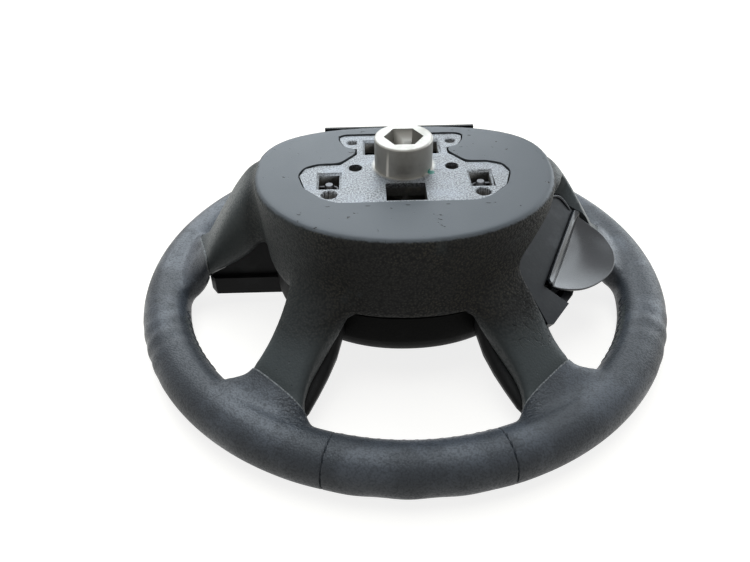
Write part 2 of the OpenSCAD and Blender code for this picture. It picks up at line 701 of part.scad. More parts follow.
// The blade is drawn by its depth under the housing's face, then turned over
module blade() {
    edge = smooth(blade_edge, 2);
    n = len(edge) - 1;
    m = 7;
    pts = [for (side = [0, blade_t], i = [0:n], k = [0:m])
        let (s = k/m, root = [ridge_len*i/n, 0.3], q = root + s*(edge[i] - root),
            bulge = sin(180*i/n),
            w = scoop*bulge*sin(180*pow(s, 0.8)) - (ridge_h + 0.6)*pow(1 - s, 4) - blade_rise*q[1])
        [q[0], q[1], w + side]];
    row = m + 1;
    sheet = (n + 1)*row;
    top = [for (i = [0:n - 1], k = [0:m - 1]) each [[i*row + k, (i + 1)*row + k + 1, i*row + k + 1],
        [i*row + k, (i + 1)*row + k, (i + 1)*row + k + 1]]];
    low = [for (f = top) [f[0] + sheet, f[2] + sheet, f[1] + sheet]];
    rim = concat([for (k = [0:m]) k], [for (i = [1:n]) i*row + m], [for (k = [m - 1:-1:0]) n*row + k],
        [for (i = [n - 1:-1:1]) i*row]);
    wall = [for (j = [0:len(rim) - 1]) let (a = rim[j], b = rim[(j + 1)%len(rim)]) each
        [[b, a + sheet, a], [b, b + sheet, a + sheet]]];
    mirror([0, 0, 1]) polyhedron(pts, concat(top, low, wall));
}
module paddle() {
    to = lug_at[1] - fit;
    color([0.1, 0.11, 0.12]) face_frame() difference() {
        union() {
            blade();
            hinge_rod(barrel_d, barrel_from, to);
            translate([barrel_from, hinge_at[0] - 3, hinge_at[1]]) cube([to - barrel_from, 6, web_h]);
        }
        hinge_rod(hinge_d + run_fit, barrel_from - 1, to + 1);
    }
}

hub_casting();
arm_lower_right();
arm_lower_left();
arm_side_right();
arm_side_left();
rim_core();
rim_foam();
foam_hub();
foam_lower_right();
foam_lower_left();
foam_side_right();
foam_side_left();
leather_lower();
leather_right();
leather_upper();
leather_left();
root_lower_right();
root_lower_left();
root_side_right();
root_side_left();
cable_guard();
spoke_cover_right();
spoke_cover_left();
switch_bezel_right();
switch_bezel_left();
lower_trim_right();
lower_trim_left();
rocker_right();
rocker_left();
upper_key_right();
upper_key_left();
lower_key_right();
lower_key_left();
retaining_wire_right();
retaining_wire_left();
airbag_cover();
cover_frame();
airbag_pack();
module_carrier();
gas_generator();
guide_pin_left();
guide_pin_right();
guide_pin_lower();
hook_right();
hook_left();
horn_spring_left();
horn_spring_right();
horn_spring_lower();
paddle_housing();
paddle_pin();
paddle_spring();
paddle();
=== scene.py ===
"""Looks of a four-spoke van steering wheel that lies face down, seen from its column side."""
from __future__ import annotations

import json
import logging
import math
from dataclasses import dataclass, field

import bmesh
import bpy
import numpy as np
from mathutils import Matrix, Vector

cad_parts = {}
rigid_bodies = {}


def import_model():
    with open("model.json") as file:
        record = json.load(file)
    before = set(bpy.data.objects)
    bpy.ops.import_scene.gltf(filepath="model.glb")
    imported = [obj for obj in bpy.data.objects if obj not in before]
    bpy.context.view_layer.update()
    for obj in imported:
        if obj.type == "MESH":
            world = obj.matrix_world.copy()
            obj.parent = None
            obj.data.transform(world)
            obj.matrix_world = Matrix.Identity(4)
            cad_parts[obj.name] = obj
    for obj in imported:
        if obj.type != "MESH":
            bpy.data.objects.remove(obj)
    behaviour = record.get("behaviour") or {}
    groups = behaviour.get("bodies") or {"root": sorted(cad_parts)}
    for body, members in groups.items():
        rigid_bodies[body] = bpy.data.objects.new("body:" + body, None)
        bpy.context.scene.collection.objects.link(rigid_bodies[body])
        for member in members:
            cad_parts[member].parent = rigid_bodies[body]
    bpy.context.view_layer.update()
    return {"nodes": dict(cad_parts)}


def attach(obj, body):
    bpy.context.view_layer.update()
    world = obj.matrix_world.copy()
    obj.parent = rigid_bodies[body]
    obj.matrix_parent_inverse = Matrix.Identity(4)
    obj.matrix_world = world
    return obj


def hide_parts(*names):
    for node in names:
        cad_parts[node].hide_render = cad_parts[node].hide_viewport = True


LOG = logging.getLogger("steering_wheel")
MM = 0.001
Triple = tuple[float, float, float]
MM_PER_M = 1000.0


class Skin:
    """Points and faces of one closed or open skin, in millimetres."""

    def __init__(self, points: np.ndarray, faces: list[tuple[int, ...]]) -> None:
        """Keeps the points and faces.

        Args:
            points: One row of x, y, z for each point.
            faces: Point numbers of each face.
        """
        self.points = np.asarray(points, float)
        self.faces = [tuple(int(k) for k in f) for f in faces]

    def mirrored(self) -> Skin:
        """Returns the skin mirrored in the wheel's middle plane."""
        return Skin(self.points * [-1, 1, 1], [f[::-1] for f in self.faces])

    def build(self, name: str) -> bpy.types.Object:
        """Makes a Blender object of the skin.

        Args:
            name: Name of the new object.

        Returns:
            The new object, smooth shaded and in the scene.
        """
        mesh = bpy.data.meshes.new(name)
        mesh.from_pydata((self.points * MM).tolist(), [], self.faces)
        shape = bmesh.new()
        shape.from_mesh(mesh)
        bmesh.ops.recalc_face_normals(shape, faces=shape.faces)
        shape.to_mesh(mesh)
        shape.free()
        mesh.shade_smooth()
        return placed_object(name, mesh)


def placed_object(name: str, mesh: bpy.types.Mesh) -> bpy.types.Object:
    """Links a new object with this mesh to the scene and returns it."""
    piece = bpy.data.objects.new(name, mesh)
    bpy.context.scene.collection.objects.link(piece)
    return piece


def removed(piece: bpy.types.Object) -> None:
    """Removes an object and its mesh."""
    mesh = piece.data
    bpy.data.objects.remove(piece)
    bpy.data.meshes.remove(mesh)


def full_turn(n: int) -> np.ndarray:
    """Returns n angles, even round a full turn."""
    return np.arange(n) * 2 * math.pi / n


def power(value: np.ndarray | float, p: float) -> np.ndarray | float:
    """Returns value to the power p, keeping its sign."""
    return np.sign(value) * np.abs(value) ** p


def loft(rings: list[np.ndarray]) -> Skin:
    """Joins rings of equally many points into a closed skin.

    Args:
        rings: Rings of points, in order along the skin.

    Returns:
        The skin, closed by a fan at each end.
    """
    n = len(rings[0])
    rows = len(rings)
    points = np.vstack(rings + [rings[0].mean(0)[None], rings[-1].mean(0)[None]])
    faces = [(i * n + k, i * n + (k + 1) % n, (i + 1) * n + (k + 1) % n, (i + 1) * n + k)
             for i in range(rows - 1) for k in range(n)]
    faces += [((k + 1) % n, k, rows * n) for k in range(n)]
    last = (rows - 1) * n
    faces += [(last + k, last + (k + 1) % n, rows * n + 1) for k in range(n)]
    return Skin(points, faces)


def hoop(rings: list[np.ndarray]) -> Skin:
    """Joins rings of equally many points into a skin that closes on itself, as a tube with a bore does."""
    n = len(rings[0])
    rows = len(rings)
    faces = [(i * n + k, i * n + (k + 1) % n, (i + 1) % rows * n + (k + 1) % n, (i + 1) % rows * n + k)
             for i in range(rows) for k in range(n)]
    return Skin(np.vstack(rings), faces)


def prism(outline: np.ndarray | list | tuple, low: float, high: float) -> Skin:
    """Returns an outline drawn up from one height to another."""
    flat = np.asarray(outline, float)
    n = len(flat)
    points = np.vstack([np.c_[flat, np.full(n, low)], np.c_[flat, np.full(n, high)]])
    sides = [(k, (k + 1) % n, n + (k + 1) % n, n + k) for k in range(n)]
    return Skin(points, [tuple(range(n))[::-1], tuple(range(n, 2 * n))] + sides)


def offset_outline(outline: np.ndarray, d: float) -> np.ndarray:
    """Moves each side of an outline outwards.

    Args:
        outline: Corners, anticlockwise.
        d: Distance, negative for inwards.

    Returns:
        The corners of the moved outline.
    """
    here = np.asarray(outline, float)
    step = np.roll(here, -1, 0) - here
    step /= np.linalg.norm(step, axis=1)[:, None]
    out = np.c_[step[:, 1], -step[:, 0]]
    before = np.roll(out, 1, 0)
    return here + d * (out + before) / (1 + (out * before).sum(1))[:, None]


def rounded_outline(outline: np.ndarray, radius: float, steps: int = 6) -> np.ndarray:
    """Rounds each corner of an outline.

    Args:
        outline: Corners in order.
        radius: How far each round may reach along the sides.
        steps: Points of each round.

    Returns:
        The rounded outline.
    """
    here = np.asarray(outline, float)
    result = []
    for i, corner in enumerate(here):
        back = here[i - 1] - corner
        ahead = here[(i + 1) % len(here)] - corner
        a = corner + back * min(radius / np.linalg.norm(back), 0.45)
        b = corner + ahead * min(radius / np.linalg.norm(ahead), 0.45)
        for t in np.linspace(0, 1, steps):
            result.append((1 - t) ** 2 * a + 2 * t * (1 - t) * corner + t * t * b)
    return np.array(result)


def smooth_rows(rows: list[list[float]], per: int) -> np.ndarray:
    """Draws a smooth curve through rows of numbers.

    Args:
        rows: The rows that the curve passes through.
        per: New rows for each span.

    Returns:
        The rows along the curve, both ends included.
    """
    p = np.asarray(rows, float)
    result = []
    for i in range(len(p) - 1):
        a, b, c, e = p[max(i - 1, 0)], p[i], p[i + 1], p[min(i + 2, len(p) - 1)]
        for k in range(per):
            t = k / per
            result.append(b + t * (c - a) / 2 + t * t * (a - 2.5 * b + 2 * c - e / 2)
                          + t ** 3 * (1.5 * (b - c) + (e - a) / 2))
    return np.array(result + [p[-1]])


def applied(piece: bpy.types.Object) -> bpy.types.Object:
    """Applies every modifier of a piece and returns it."""
    graph = bpy.context.evaluated_depsgraph_get()
    mesh = bpy.data.meshes.new_from_object(piece.evaluated_get(graph))
    old = piece.data
    piece.modifiers.clear()
    piece.data = mesh
    mesh.name = piece.name
    bpy.data.meshes.remove(old)
    return piece


def fused(name: str, parts: list[bpy.types.Object], voxel: float) -> bpy.types.Object:
    """Melts closed parts into one skin of even quads.

    Args:
        name: Name of the new piece.
        parts: The parts, which are used up.
        voxel: Size of the quads in millimetres.

    Returns:
        The new piece.
    """
    mesh = bpy.data.meshes.new(name)
    shape = bmesh.new()
    for part in parts:
        shape.from_mesh(part.data)
        removed(part)
    shape.to_mesh(mesh)
    shape.free()
    piece = placed_object(name, mesh)
    remesh = piece.modifiers.new("melt", "REMESH")
    remesh.mode = "VOXEL"
    remesh.voxel_size = voxel * MM
    remesh.use_smooth_shade = True
    return applied(piece)


def carved(piece: bpy.types.Object, cutters: list[Skin]) -> bpy.types.Object:
    """Cuts closed skins out of a piece.

    Args:
        piece: The piece, a closed skin.
        cutters: Skins to take away, in millimetres.

    Returns:
        The same piece.
    """
    made = []
    for i, cutter in enumerate(cutters):
        tool = cutter.build("cutter_%d" % i)
        made.append(tool)
        cut = piece.modifiers.new("cut", "BOOLEAN")
        cut.operation = "DIFFERENCE"
        cut.solver = "MANIFOLD"
        cut.object = tool
    applied(piece)
    for tool in made:
        removed(tool)
    return piece


class Relaxer:
    """Moves the points of a mesh with numpy."""

    inward = 0.5
    outward = 0.52

    def __init__(self, mesh: bpy.types.Mesh) -> None:
        """Reads the mesh.

        Args:
            mesh: The mesh whose points will move.
        """
        self.mesh = mesh
        self.co = np.empty(len(mesh.vertices) * 3)
        mesh.vertices.foreach_get("co", self.co)
        self.co = self.co.reshape(-1, 3) / MM
        edges = np.empty(len(mesh.edges) * 2, np.int64)
        mesh.edges.foreach_get("vertices", edges)
        self.a, self.b = edges.reshape(-1, 2).T
        self.count = np.maximum(np.bincount(np.r_[self.a, self.b], minlength=len(self.co)), 1)

    def pull(self) -> np.ndarray:
        """Returns how far each point lies from the middle of its neighbours."""
        total = np.stack([np.bincount(self.a, self.co[self.b, k], len(self.co))
                          + np.bincount(self.b, self.co[self.a, k], len(self.co)) for k in range(3)], 1)
        return total / self.count[:, None] - self.co

    def normals(self) -> np.ndarray:
        """Returns the normals of the points as they stand."""
        self.store()
        n = np.empty(len(self.co) * 3)
        self.mesh.vertices.foreach_get("normal", n)
        return n.reshape(-1, 3)

    def even(self, rounds: int) -> None:
        """Takes steps out of the skin without shrinking it."""
        for _ in range(rounds):
            self.co += self.inward * self.pull()
            self.co -= self.outward * self.pull()

    def fill_corners(self, rounds: int, weight: np.ndarray) -> None:
        """Fills inner corners with a round, and leaves outer edges.

        Args:
            rounds: How often the points move.
            weight: How freely each point moves.
        """
        for i in range(rounds):
            if i % 8 == 0:
                n = self.normals()
            step = self.pull()
            hollow = np.clip((step * n).sum(1) * 30, 0, 1)
            self.co += (0.9 * hollow * weight)[:, None] * step

    def store(self) -> None:
        """Writes the points back to the mesh."""
        self.mesh.vertices.foreach_set("co", (self.co * MM).ravel())
        self.mesh.update()


class Shading:
    """Short hand for placing shader nodes in one tree."""

    def __init__(self, tree: bpy.types.NodeTree) -> None:
        """Keeps the tree that the nodes go into."""
        self.tree = tree

    def feed(self, made: bpy.types.Node, inputs: dict) -> bpy.types.Node:
        """Feeds values or sockets to a node's inputs, by name or number, and returns the node."""
        for key, value in inputs.items():
            if isinstance(value, bpy.types.NodeSocket):
                self.tree.links.new(value, made.inputs[key])
            else:
                made.inputs[key].default_value = value
        return made

    def node(self, kind: str, inputs: dict | None = None, **settings: object) -> bpy.types.Node:
        """Adds a node.

        Args:
            kind: Blender's name of the node type, without ShaderNode.
            inputs: Values or sockets, by the input's name or number.
            **settings: Properties of the node.

        Returns:
            The node.
        """
        made = self.tree.nodes.new("ShaderNode" + kind)
        for key, value in settings.items():
            setattr(made, key, value)
        return self.feed(made, inputs or {})

    def math(self, op: str, a: object, b: object = 0.0, c: object = 0.0) -> bpy.types.NodeSocket:
        """Returns the result of a Math node."""
        return self.node("Math", {0: a, 1: b, 2: c}, operation=op).outputs[0]

    def times(self, a: object, b: object) -> bpy.types.NodeSocket:
        """Returns a times b."""
        return self.math("MULTIPLY", a, b)

    def line(self, a: object, slope: object, start: object) -> bpy.types.NodeSocket:
        """Returns a times slope plus start."""
        return self.math("MULTIPLY_ADD", a, slope, start)

    def most(self, a: object, b: object) -> bpy.types.NodeSocket:
        """Returns the larger of two values."""
        return self.math("MAXIMUM", a, b)

    def step(self, value: object, low: float, high: float) -> bpy.types.NodeSocket:
        """Returns 0 to 1 as the value goes smoothly from low to high."""
        return self.node("MapRange", {0: value, 1: low, 2: high}, interpolation_type="SMOOTHSTEP").outputs[0]

    def scaled(self, vector: object, factor: object) -> bpy.types.NodeSocket:
        """Returns the vector times a factor."""
        return self.node("VectorMath", {0: vector, "Scale": factor}, operation="SCALE").outputs[0]

    def noise(self, vector: object, scale: float, detail: float = 3.0,
              rough: float = 0.55) -> bpy.types.NodeSocket:
        """Returns noise about 0.5."""
        return self.node("TexNoise", {"Vector": vector, "Scale": scale, "Detail": detail,
                                      "Roughness": rough}).outputs[0]

    def blend(self, factor: object, a: object, b: object) -> bpy.types.NodeSocket:
        """Returns colour a going over to colour b."""
        made = self.node("Mix", data_type="RGBA")
        colours = {6 + k: (*c, 1.0) if isinstance(c, tuple) else c for k, c in enumerate((a, b))}
        return self.feed(made, {0: factor, **colours}).outputs[2]

    def share(self, factor: object, a: object, b: object) -> bpy.types.NodeSocket:
        """Returns value a going over to value b."""
        return self.node("Mix", {0: factor, 2: a, 3: b}, data_type="FLOAT").outputs[0]

    def axes(self, vector: object) -> list[bpy.types.NodeSocket]:
        """Returns x, y and z of a vector."""
        return list(self.node("SeparateXYZ", {0: vector}).outputs)

    def far(self, at: object, place_mm: Triple) -> bpy.types.NodeSocket:
        """Returns the distance from a place, in metres."""
        middle = tuple(v * MM for v in place_mm)
        return self.node("VectorMath", {0: at, 1: middle}, operation="DISTANCE").outputs["Value"]

    def bent(self, at: object, scale: float, detail: float, reach: float) -> bpy.types.NodeSocket:
        """Returns the place, pushed about by noise."""
        push = self.node("TexNoise", {"Vector": at, "Scale": scale, "Detail": detail}).outputs[1]
        return self.node("VectorMath", {0: push, 1: (reach,) * 3, 2: at}, operation="MULTIPLY_ADD").outputs[0]

    def place(self) -> bpy.types.NodeSocket:
        """Returns the place on the object, in metres."""
        return self.node("TexCoord").outputs["Object"]

    def looked_at(self) -> bpy.types.NodeSocket:
        """Returns 1 for what the camera sees, directly, in a reflection or through glass."""
        path = self.node("LightPath")
        mirrored = self.most(path.outputs["Is Glossy Ray"], path.outputs["Is Transmission Ray"])
        return self.most(path.outputs["Is Camera Ray"], mirrored)

    def group(self, effect: bpy.types.NodeTree, inputs: dict) -> bpy.types.Node:
        """Places a node group."""
        made = self.tree.nodes.new("ShaderNodeGroup")
        made.node_tree = effect
        return self.feed(made, inputs)


def new_effect(name: str, inputs: dict[str, str], outputs: dict[str, str]) -> tuple[Shading, object, object]:
    """Starts a shader node group.

    Args:
        name: Name of the group.
        inputs: Socket names and their kinds.
        outputs: Socket names and their kinds.

    Returns:
        The group's tree, its input node and its output node.
    """
    tree = bpy.data.node_groups.new(name, "ShaderNodeTree")
    for way, sockets in (("INPUT", inputs), ("OUTPUT", outputs)):
        for label, kind in sockets.items():
            tree.interface.new_socket(name=label, in_out=way, socket_type="NodeSocket" + kind)
    return Shading(tree), tree.nodes.new("NodeGroupInput"), tree.nodes.new("NodeGroupOutput")


class Effects:
    """Shader groups that several finishes share, each built once."""

    def __init__(self) -> None:
        """Builds the groups."""
        self.grain = self.pebble_grain()
        self.rub = self.rubbed_patches()
        self.dust = self.settled_dust()

    def grained(self, s: Shading, at: object, cell_mm: float, stretch: float) -> bpy.types.Node:
        """Places the pebbled skin in a material's tree."""
        return s.group(self.grain, {"Place": at, "Cell": cell_mm, "Stretch": stretch})

    def rubbed(self, s: Shading, at: object, size_mm: float, cover: float) -> bpy.types.NodeSocket:
        """Places the rubbed patches in a material's tree and returns their mask."""
        return s.group(self.rub, {"Place": at, "Size": size_mm, "Cover": cover}).outputs[0]

    def pebble_grain(self) -> bpy.types.NodeTree:
        """Returns the group of a pebbled skin: leather, moulded foam and grained plastic."""
        s, given, out = new_effect("pebble_grain", {"Place": "Vector", "Cell": "Float", "Stretch": "Float"},
                                   {"Height": "Float", "Crease": "Float"})
        at = s.scaled(given.outputs["Place"], s.math("DIVIDE", MM_PER_M, given.outputs["Cell"]))
        cells = s.node("TexVoronoi", {"Vector": s.bent(at, 0.35, 2.0, 1.1), "Scale": 1.0, "Smoothness": 0.5},
                       feature="SMOOTH_F1")
        domes = s.math("SUBTRACT", 1.0, s.times(cells.outputs[0], given.outputs["Stretch"]))
        s.feed(out, {"Height": s.line(s.noise(at, 2.2, 3.0, 0.6), 0.35, domes),
                     "Crease": s.step(cells.outputs[0], 0.35, 0.8)})
        return s.tree

    def rubbed_patches(self) -> bpy.types.NodeTree:
        """Returns the group of soft patches where hands or tools rubbed a surface."""
        s, given, out = new_effect("rubbed_patches", {"Place": "Vector", "Size": "Float", "Cover": "Float"},
                                   {"Mask": "Float"})
        at = s.scaled(given.outputs["Place"], s.math("DIVIDE", MM_PER_M, given.outputs["Size"]))
        edge = s.math("SUBTRACT", 0.78, s.times(given.outputs["Cover"], 0.5))
        mask = s.math("DIVIDE", s.math("SUBTRACT", s.noise(at, 1.0, 4.0, 0.6), edge), 0.12)
        s.feed(out, {"Mask": s.node("Clamp", {0: mask}).outputs[0]})
        return s.tree

    def settled_dust(self) -> bpy.types.NodeTree:
        """Returns the group of fine dust on what faces up."""
        s, given, out = new_effect("settled_dust", {"Place": "Vector", "Amount": "Float"}, {"Mask": "Float"})
        up = s.axes(s.node("NewGeometry").outputs["Normal"])[2]
        specks = s.step(s.noise(given.outputs["Place"], 900.0, 2.0, 0.7), 0.56, 0.72)
        haze = s.step(s.noise(given.outputs["Place"], 30.0, 4.0, 0.6), 0.35, 0.7)
        both = s.times(s.line(specks, 0.6, haze), s.step(up, 0.1, 0.95))
        s.feed(out, {"Mask": s.times(both, given.outputs["Amount"])})
        return s.tree


def start_material(name: str, gloss: float = 0.5) -> tuple[bpy.types.Material, Shading, bpy.types.Node]:
    """Starts a material.

    Args:
        name: Name of the material.
        gloss: Specular level.

    Returns:
        The material, its tree and its Principled BSDF.
    """
    material = bpy.data.materials.new(name)
    material.use_nodes = True
    material.node_tree.nodes.clear()
    s = Shading(material.node_tree)
    body = s.node("BsdfPrincipled", {"Specular IOR Level": gloss})
    s.node("OutputMaterial", {"Surface": body.outputs[0]})
    return material, s, body


def coat(s: Shading, body: bpy.types.Node, tone: object, rough: object, height: object,
         depth_mm: float, strength: float = 1.0) -> None:
    """Feeds colour, roughness and bump to a material.

    Args:
        s: The material's tree.
        body: Its Principled BSDF.
        tone: Its colour.
        rough: Its roughness.
        height: Height of the bump, from 0 to about 1.
        depth_mm: Real depth of one unit of height.
        strength: Share of the bump.
    """
    bump = s.node("Bump", {"Height": height, "Distance": depth_mm * MM, "Strength": strength})
    s.feed(body, {"Base Color": tone, "Roughness": rough, "Normal": bump.outputs[0]})


@dataclass(frozen=True)
class LeatherFinish:
    """Black grained leather of the grip, worn to a satin where hands hold it."""

    base: Triple = (0.036, 0.041, 0.048)
    worn: Triple = (0.072, 0.081, 0.095)
    # painted shade: near black for the creases of the grain
    crease_shade: Triple = (0.010, 0.011, 0.013)
    cell_mm: float = 1.25
    rub_mm: float = 46.0
    rub_cover: float = 0.62
    roughness: float = 0.42
    depth_mm: float = 0.22
    fold_at: tuple[Triple, Triple] = ((-66, -143, 30), (62, -143, 30))
    fold_reach: tuple[float, float] = (0.026, 0.006)
    fold_h: float = 3.2

    def build(self, effects: Effects) -> bpy.types.Material:
        """Returns the material."""
        material, s, body = start_material("worn_leather", 0.3)
        at = s.place()
        grain = effects.grained(s, at, self.cell_mm, 0.9)
        rub = effects.rubbed(s, at, self.rub_mm, self.rub_cover)
        tone = s.blend(rub, self.base, self.worn)
        # Painted shade: the creases of the grain are darkened towards near black.
        tone = s.blend(s.times(grain.outputs["Crease"], 0.45), tone, self.crease_shade)
        rough = s.line(grain.outputs["Crease"], 0.16, s.line(rub, -0.10, self.roughness))
        near = [s.step(s.far(at, place), *self.fold_reach) for place in self.fold_at]
        wave = s.node("TexWave", {"Vector": at, "Scale": 105.0, "Distortion": 9.0, "Detail": 2.0,
                                  "Detail Scale": 2.0}, bands_direction="Y").outputs["Fac"]
        height = s.line(s.times(wave, s.most(*near)), self.fold_h,
                        s.times(grain.outputs["Height"], s.line(rub, -0.45, 1.0)))
        coat(s, body, tone, rough, height, self.depth_mm, 0.9)
        return material


@dataclass(frozen=True)
class CutEdgeFinish:
    """Bare grey fibre on the cut edge of the leather."""

    fibre: Triple = (0.30, 0.31, 0.31)
    dim_grey: Triple = (0.10, 0.10, 0.10)

    def build(self) -> bpy.types.Material:
        """Returns the material."""
        material, s, body = start_material("leather_cut_edge", 0.1)
        fuzz = s.noise(s.place(), 700.0, 4.0, 0.7)
        tone = s.blend(s.step(fuzz, 0.35, 0.65), self.dim_grey, self.fibre)
        coat(s, body, tone, s.line(fuzz, 0.2, 0.7), fuzz, 0.2)
        return material


@dataclass(frozen=True)
class ThreadFinish:
    """Twisted black sewing thread."""

    fibre: Triple = (0.022, 0.023, 0.026)
    light: Triple = (0.07, 0.075, 0.085)

    def build(self) -> bpy.types.Material:
        """Returns the material."""
        material, s, body = start_material("sewing_thread", 0.2)
        twist = s.node("TexWave", {"Vector": s.place(), "Scale": 900.0, "Distortion": 2.0},
                       bands_direction="DIAGONAL").outputs["Fac"]
        coat(s, body, s.blend(twist, self.fibre, self.light), s.line(twist, -0.15, 0.6), twist, 0.1)
        return material


@dataclass(frozen=True)
class HubFoamFinish:
    """Integral-skin foam: smooth satin on the flat back, coarse grain down the skirt and the spokes."""

    base: Triple = (0.003, 0.0031, 0.0028)
    # painted highlight: a lighter olive tone for the tops of the grain, in place of the lamps' sheen on the
    # bumps
    grain_tip_highlight: Triple = (0.042, 0.038, 0.026)
    flat: Triple = (0.066, 0.074, 0.082)
    # lighter tone of rubbed foam on the patches and the spokes, also used as painted light on the left of the
    # skirt
    worn_and_lit_tone: Triple = (0.056, 0.065, 0.066)
    mark_pitch: float = 26.0
    mark_y: float = -55.0
    mark_reach: float = 60.0
    crack_at: Triple = (78.0, -90.0, 55.0)
    cell_mm: float = 1.5
    fine_mm: float = 0.55
    rub_mm: float = 34.0
    rub_cover: float = 0.42
    flat_z: float = 120.2
    depth_mm: float = 0.42

    def build(self, effects: Effects) -> bpy.types.Material:
        """Returns the material."""
        material, s, body = start_material("hub_foam", 0.22)
        at = s.place()
        x, _, z = s.axes(at)
        wobble = s.line(s.noise(at, 240.0, 3.0, 0.7), 0.0016, z)
        on_back = s.step(wobble, (self.flat_z - 0.4) * MM, (self.flat_z + 1.0) * MM)
        grain = effects.grained(s, at, self.cell_mm, 1.0)
        fine = effects.grained(s, at, self.fine_mm, 0.8)
        smooth = effects.rubbed(s, at, self.rub_mm, self.rub_cover)
        spokes = s.most(s.step(z, 0.064, 0.044), s.step(s.math("ABSOLUTE", x), 0.102, 0.122))
        # Painted light: the left part of the skirt is made lighter, as if a lamp lit it from the left. It
        # joins the rubbed patches and the spokes in one mask of worn foam and painted light.
        lit = s.times(s.step(x, -0.045, -0.085), 0.45)
        worn_and_lit = s.most(s.most(s.times(smooth, 0.6), lit), spokes)
        # Painted highlight: the tops of the grain take the olive tone in random patches, standing in for the
        # sheen of light on them.
        highlight_patches = s.step(s.noise(at, 26.0, 5.0, 0.65), 0.40, 0.68)
        highlit_tops = s.step(grain.outputs["Height"], 0.55, 1.15)
        cracks = self.cracks(s, at)
        pits = s.most(s.step(s.noise(at, 210.0, 2.0, 0.5), 0.70, 0.74), self.marks(s, at))
        tone = s.blend(s.times(highlit_tops, s.line(highlight_patches, 0.75, 0.15)), self.base, self.grain_tip_highlight)
        tone = s.blend(s.times(worn_and_lit, 0.8), tone, self.worn_and_lit_tone)
        tone = s.blend(s.times(cracks, 0.85), tone, self.base)
        tone = s.blend(on_back, tone, s.blend(pits, self.flat, self.base))
        rough_side = s.line(worn_and_lit, -0.16, s.line(grain.outputs["Crease"], 0.2, 0.56))
        rough_back = s.line(s.noise(at, 20.0, 4.0, 0.6), 0.14, 0.36)
        keep = s.times(s.math("SUBTRACT", 1.0, on_back), s.line(worn_and_lit, -0.72, 1.0))
        height = s.math("ADD", s.times(grain.outputs["Height"], keep),
                        s.line(fine.outputs["Height"], 0.10, s.times(pits, -0.8)))
        coat(s, body, tone, s.share(on_back, rough_side, rough_back), s.line(cracks, -1.6, height),
             self.depth_mm)
        return material

    def marks(self, s: Shading, at: object) -> bpy.types.NodeSocket:
        """Returns the row of small ejector marks along the near edge of the flat back."""
        x, y, _ = s.axes(s.scaled(at, MM_PER_M))
        share = s.math("DIVIDE", x, self.mark_pitch)
        across = s.times(s.math("SUBTRACT", share, s.math("ROUND", share)), self.mark_pitch / 1.7)
        along = s.line(y, 1.4, -1.4 * self.mark_y)
        ragged = s.line(s.noise(at, 700.0, 2.0, 0.6), 0.9, -0.45)
        round_far = s.math("SQRT", s.math("ADD", s.times(across, across), s.times(along, along)))
        dots = s.step(s.math("ADD", round_far, ragged), 1.1, 0.7)
        inside = s.math("LESS_THAN", s.math("ABSOLUTE", x), self.mark_reach)
        return s.times(s.times(dots, inside), 0.7)

    def cracks(self, s: Shading, at: object) -> bpy.types.NodeSocket:
        """Returns the fine cracks where the right lower spoke was bent."""
        bent = s.bent(at, 160.0, 3.0, 0.009)
        lines = s.node("TexVoronoi", {"Vector": bent, "Scale": 105.0}, feature="DISTANCE_TO_EDGE").outputs[0]
        near = s.step(s.far(at, self.crack_at), 0.030, 0.014)
        broken = s.step(s.noise(at, 90.0, 2.0, 0.5), 0.42, 0.58)
        return s.times(s.times(s.step(lines, 0.05, 0.02), near), broken)


@dataclass(frozen=True)
class CastPlateFinish:
    """Cast aluminium: sparkling plate, smoother boss, a darker tone below its face in windows and holes, a
    dab of green paint.
    """

    plate: Triple = (0.235, 0.243, 0.25)
    pit: Triple = (0.06, 0.062, 0.065)
    cool: Triple = (0.22, 0.24, 0.27)
    boss: Triple = (0.40, 0.385, 0.35)
    stain: Triple = (0.27, 0.255, 0.225)
    # tones of the metal below the plate's face, in windows and holes
    deep_dark: Triple = (0.10, 0.095, 0.085)
    dim_grey: Triple = (0.17, 0.155, 0.13)
    paint: Triple = (0.010, 0.16, 0.12)
    paint_at: Triple = (18.5, -11.5, 120.0)
    boss_r: tuple[float, float] = (0.0235, 0.0204)
    deep_z: tuple[float, float] = (0.1192, 0.1150)
    depth_mm: float = 0.30

    def build(self, effects: Effects) -> bpy.types.Material:
        """Returns the material."""
        material, s, body = start_material("cast_aluminium")
        at = s.place()
        x, y, z = s.axes(at)
        flat = s.node("CombineXYZ", {0: x, 1: y}).outputs[0]
        radius = s.node("VectorMath", {0: flat}, operation="LENGTH").outputs["Value"]
        on_boss = s.step(radius, *self.boss_r)
        speck = s.noise(at, 800.0, 2.0, 0.75)
        clouds = s.noise(at, 42.0, 5.0, 0.6)
        tone = s.blend(s.step(speck, 0.40, 0.60), self.pit, self.plate)
        tone = s.blend(s.times(s.step(clouds, 0.42, 0.66), 0.35), tone, self.cool)
        metal = s.blend(s.step(clouds, 0.3, 0.62), self.stain, self.boss)
        tone = s.blend(s.times(on_boss, 0.92), tone, metal)
        # Below the plate's face, in windows and holes, the metal goes over to a darker tone, mottled by the
        # patch mask.
        deep_tone = s.blend(effects.rubbed(s, at, 12.0, 0.5), self.deep_dark, self.dim_grey)
        tone = s.blend(s.times(s.step(z, *self.deep_z), 0.85), tone, deep_tone)
        ragged = s.line(s.noise(at, 330.0, 3.0, 0.6), 0.0022, s.far(at, self.paint_at))
        dab = s.step(ragged, 0.0040, 0.0034)
        s.feed(body, {"Metallic": s.line(dab, -0.55, 0.55)})
        sand = s.line(s.noise(at, 420.0, 3.0, 0.6), 0.7, speck)
        coat(s, body, s.blend(dab, tone, self.paint), s.line(speck, 0.35, 0.26),
             s.times(sand, s.line(on_boss, -0.85, 1.0)), self.depth_mm, 0.9)
        return material


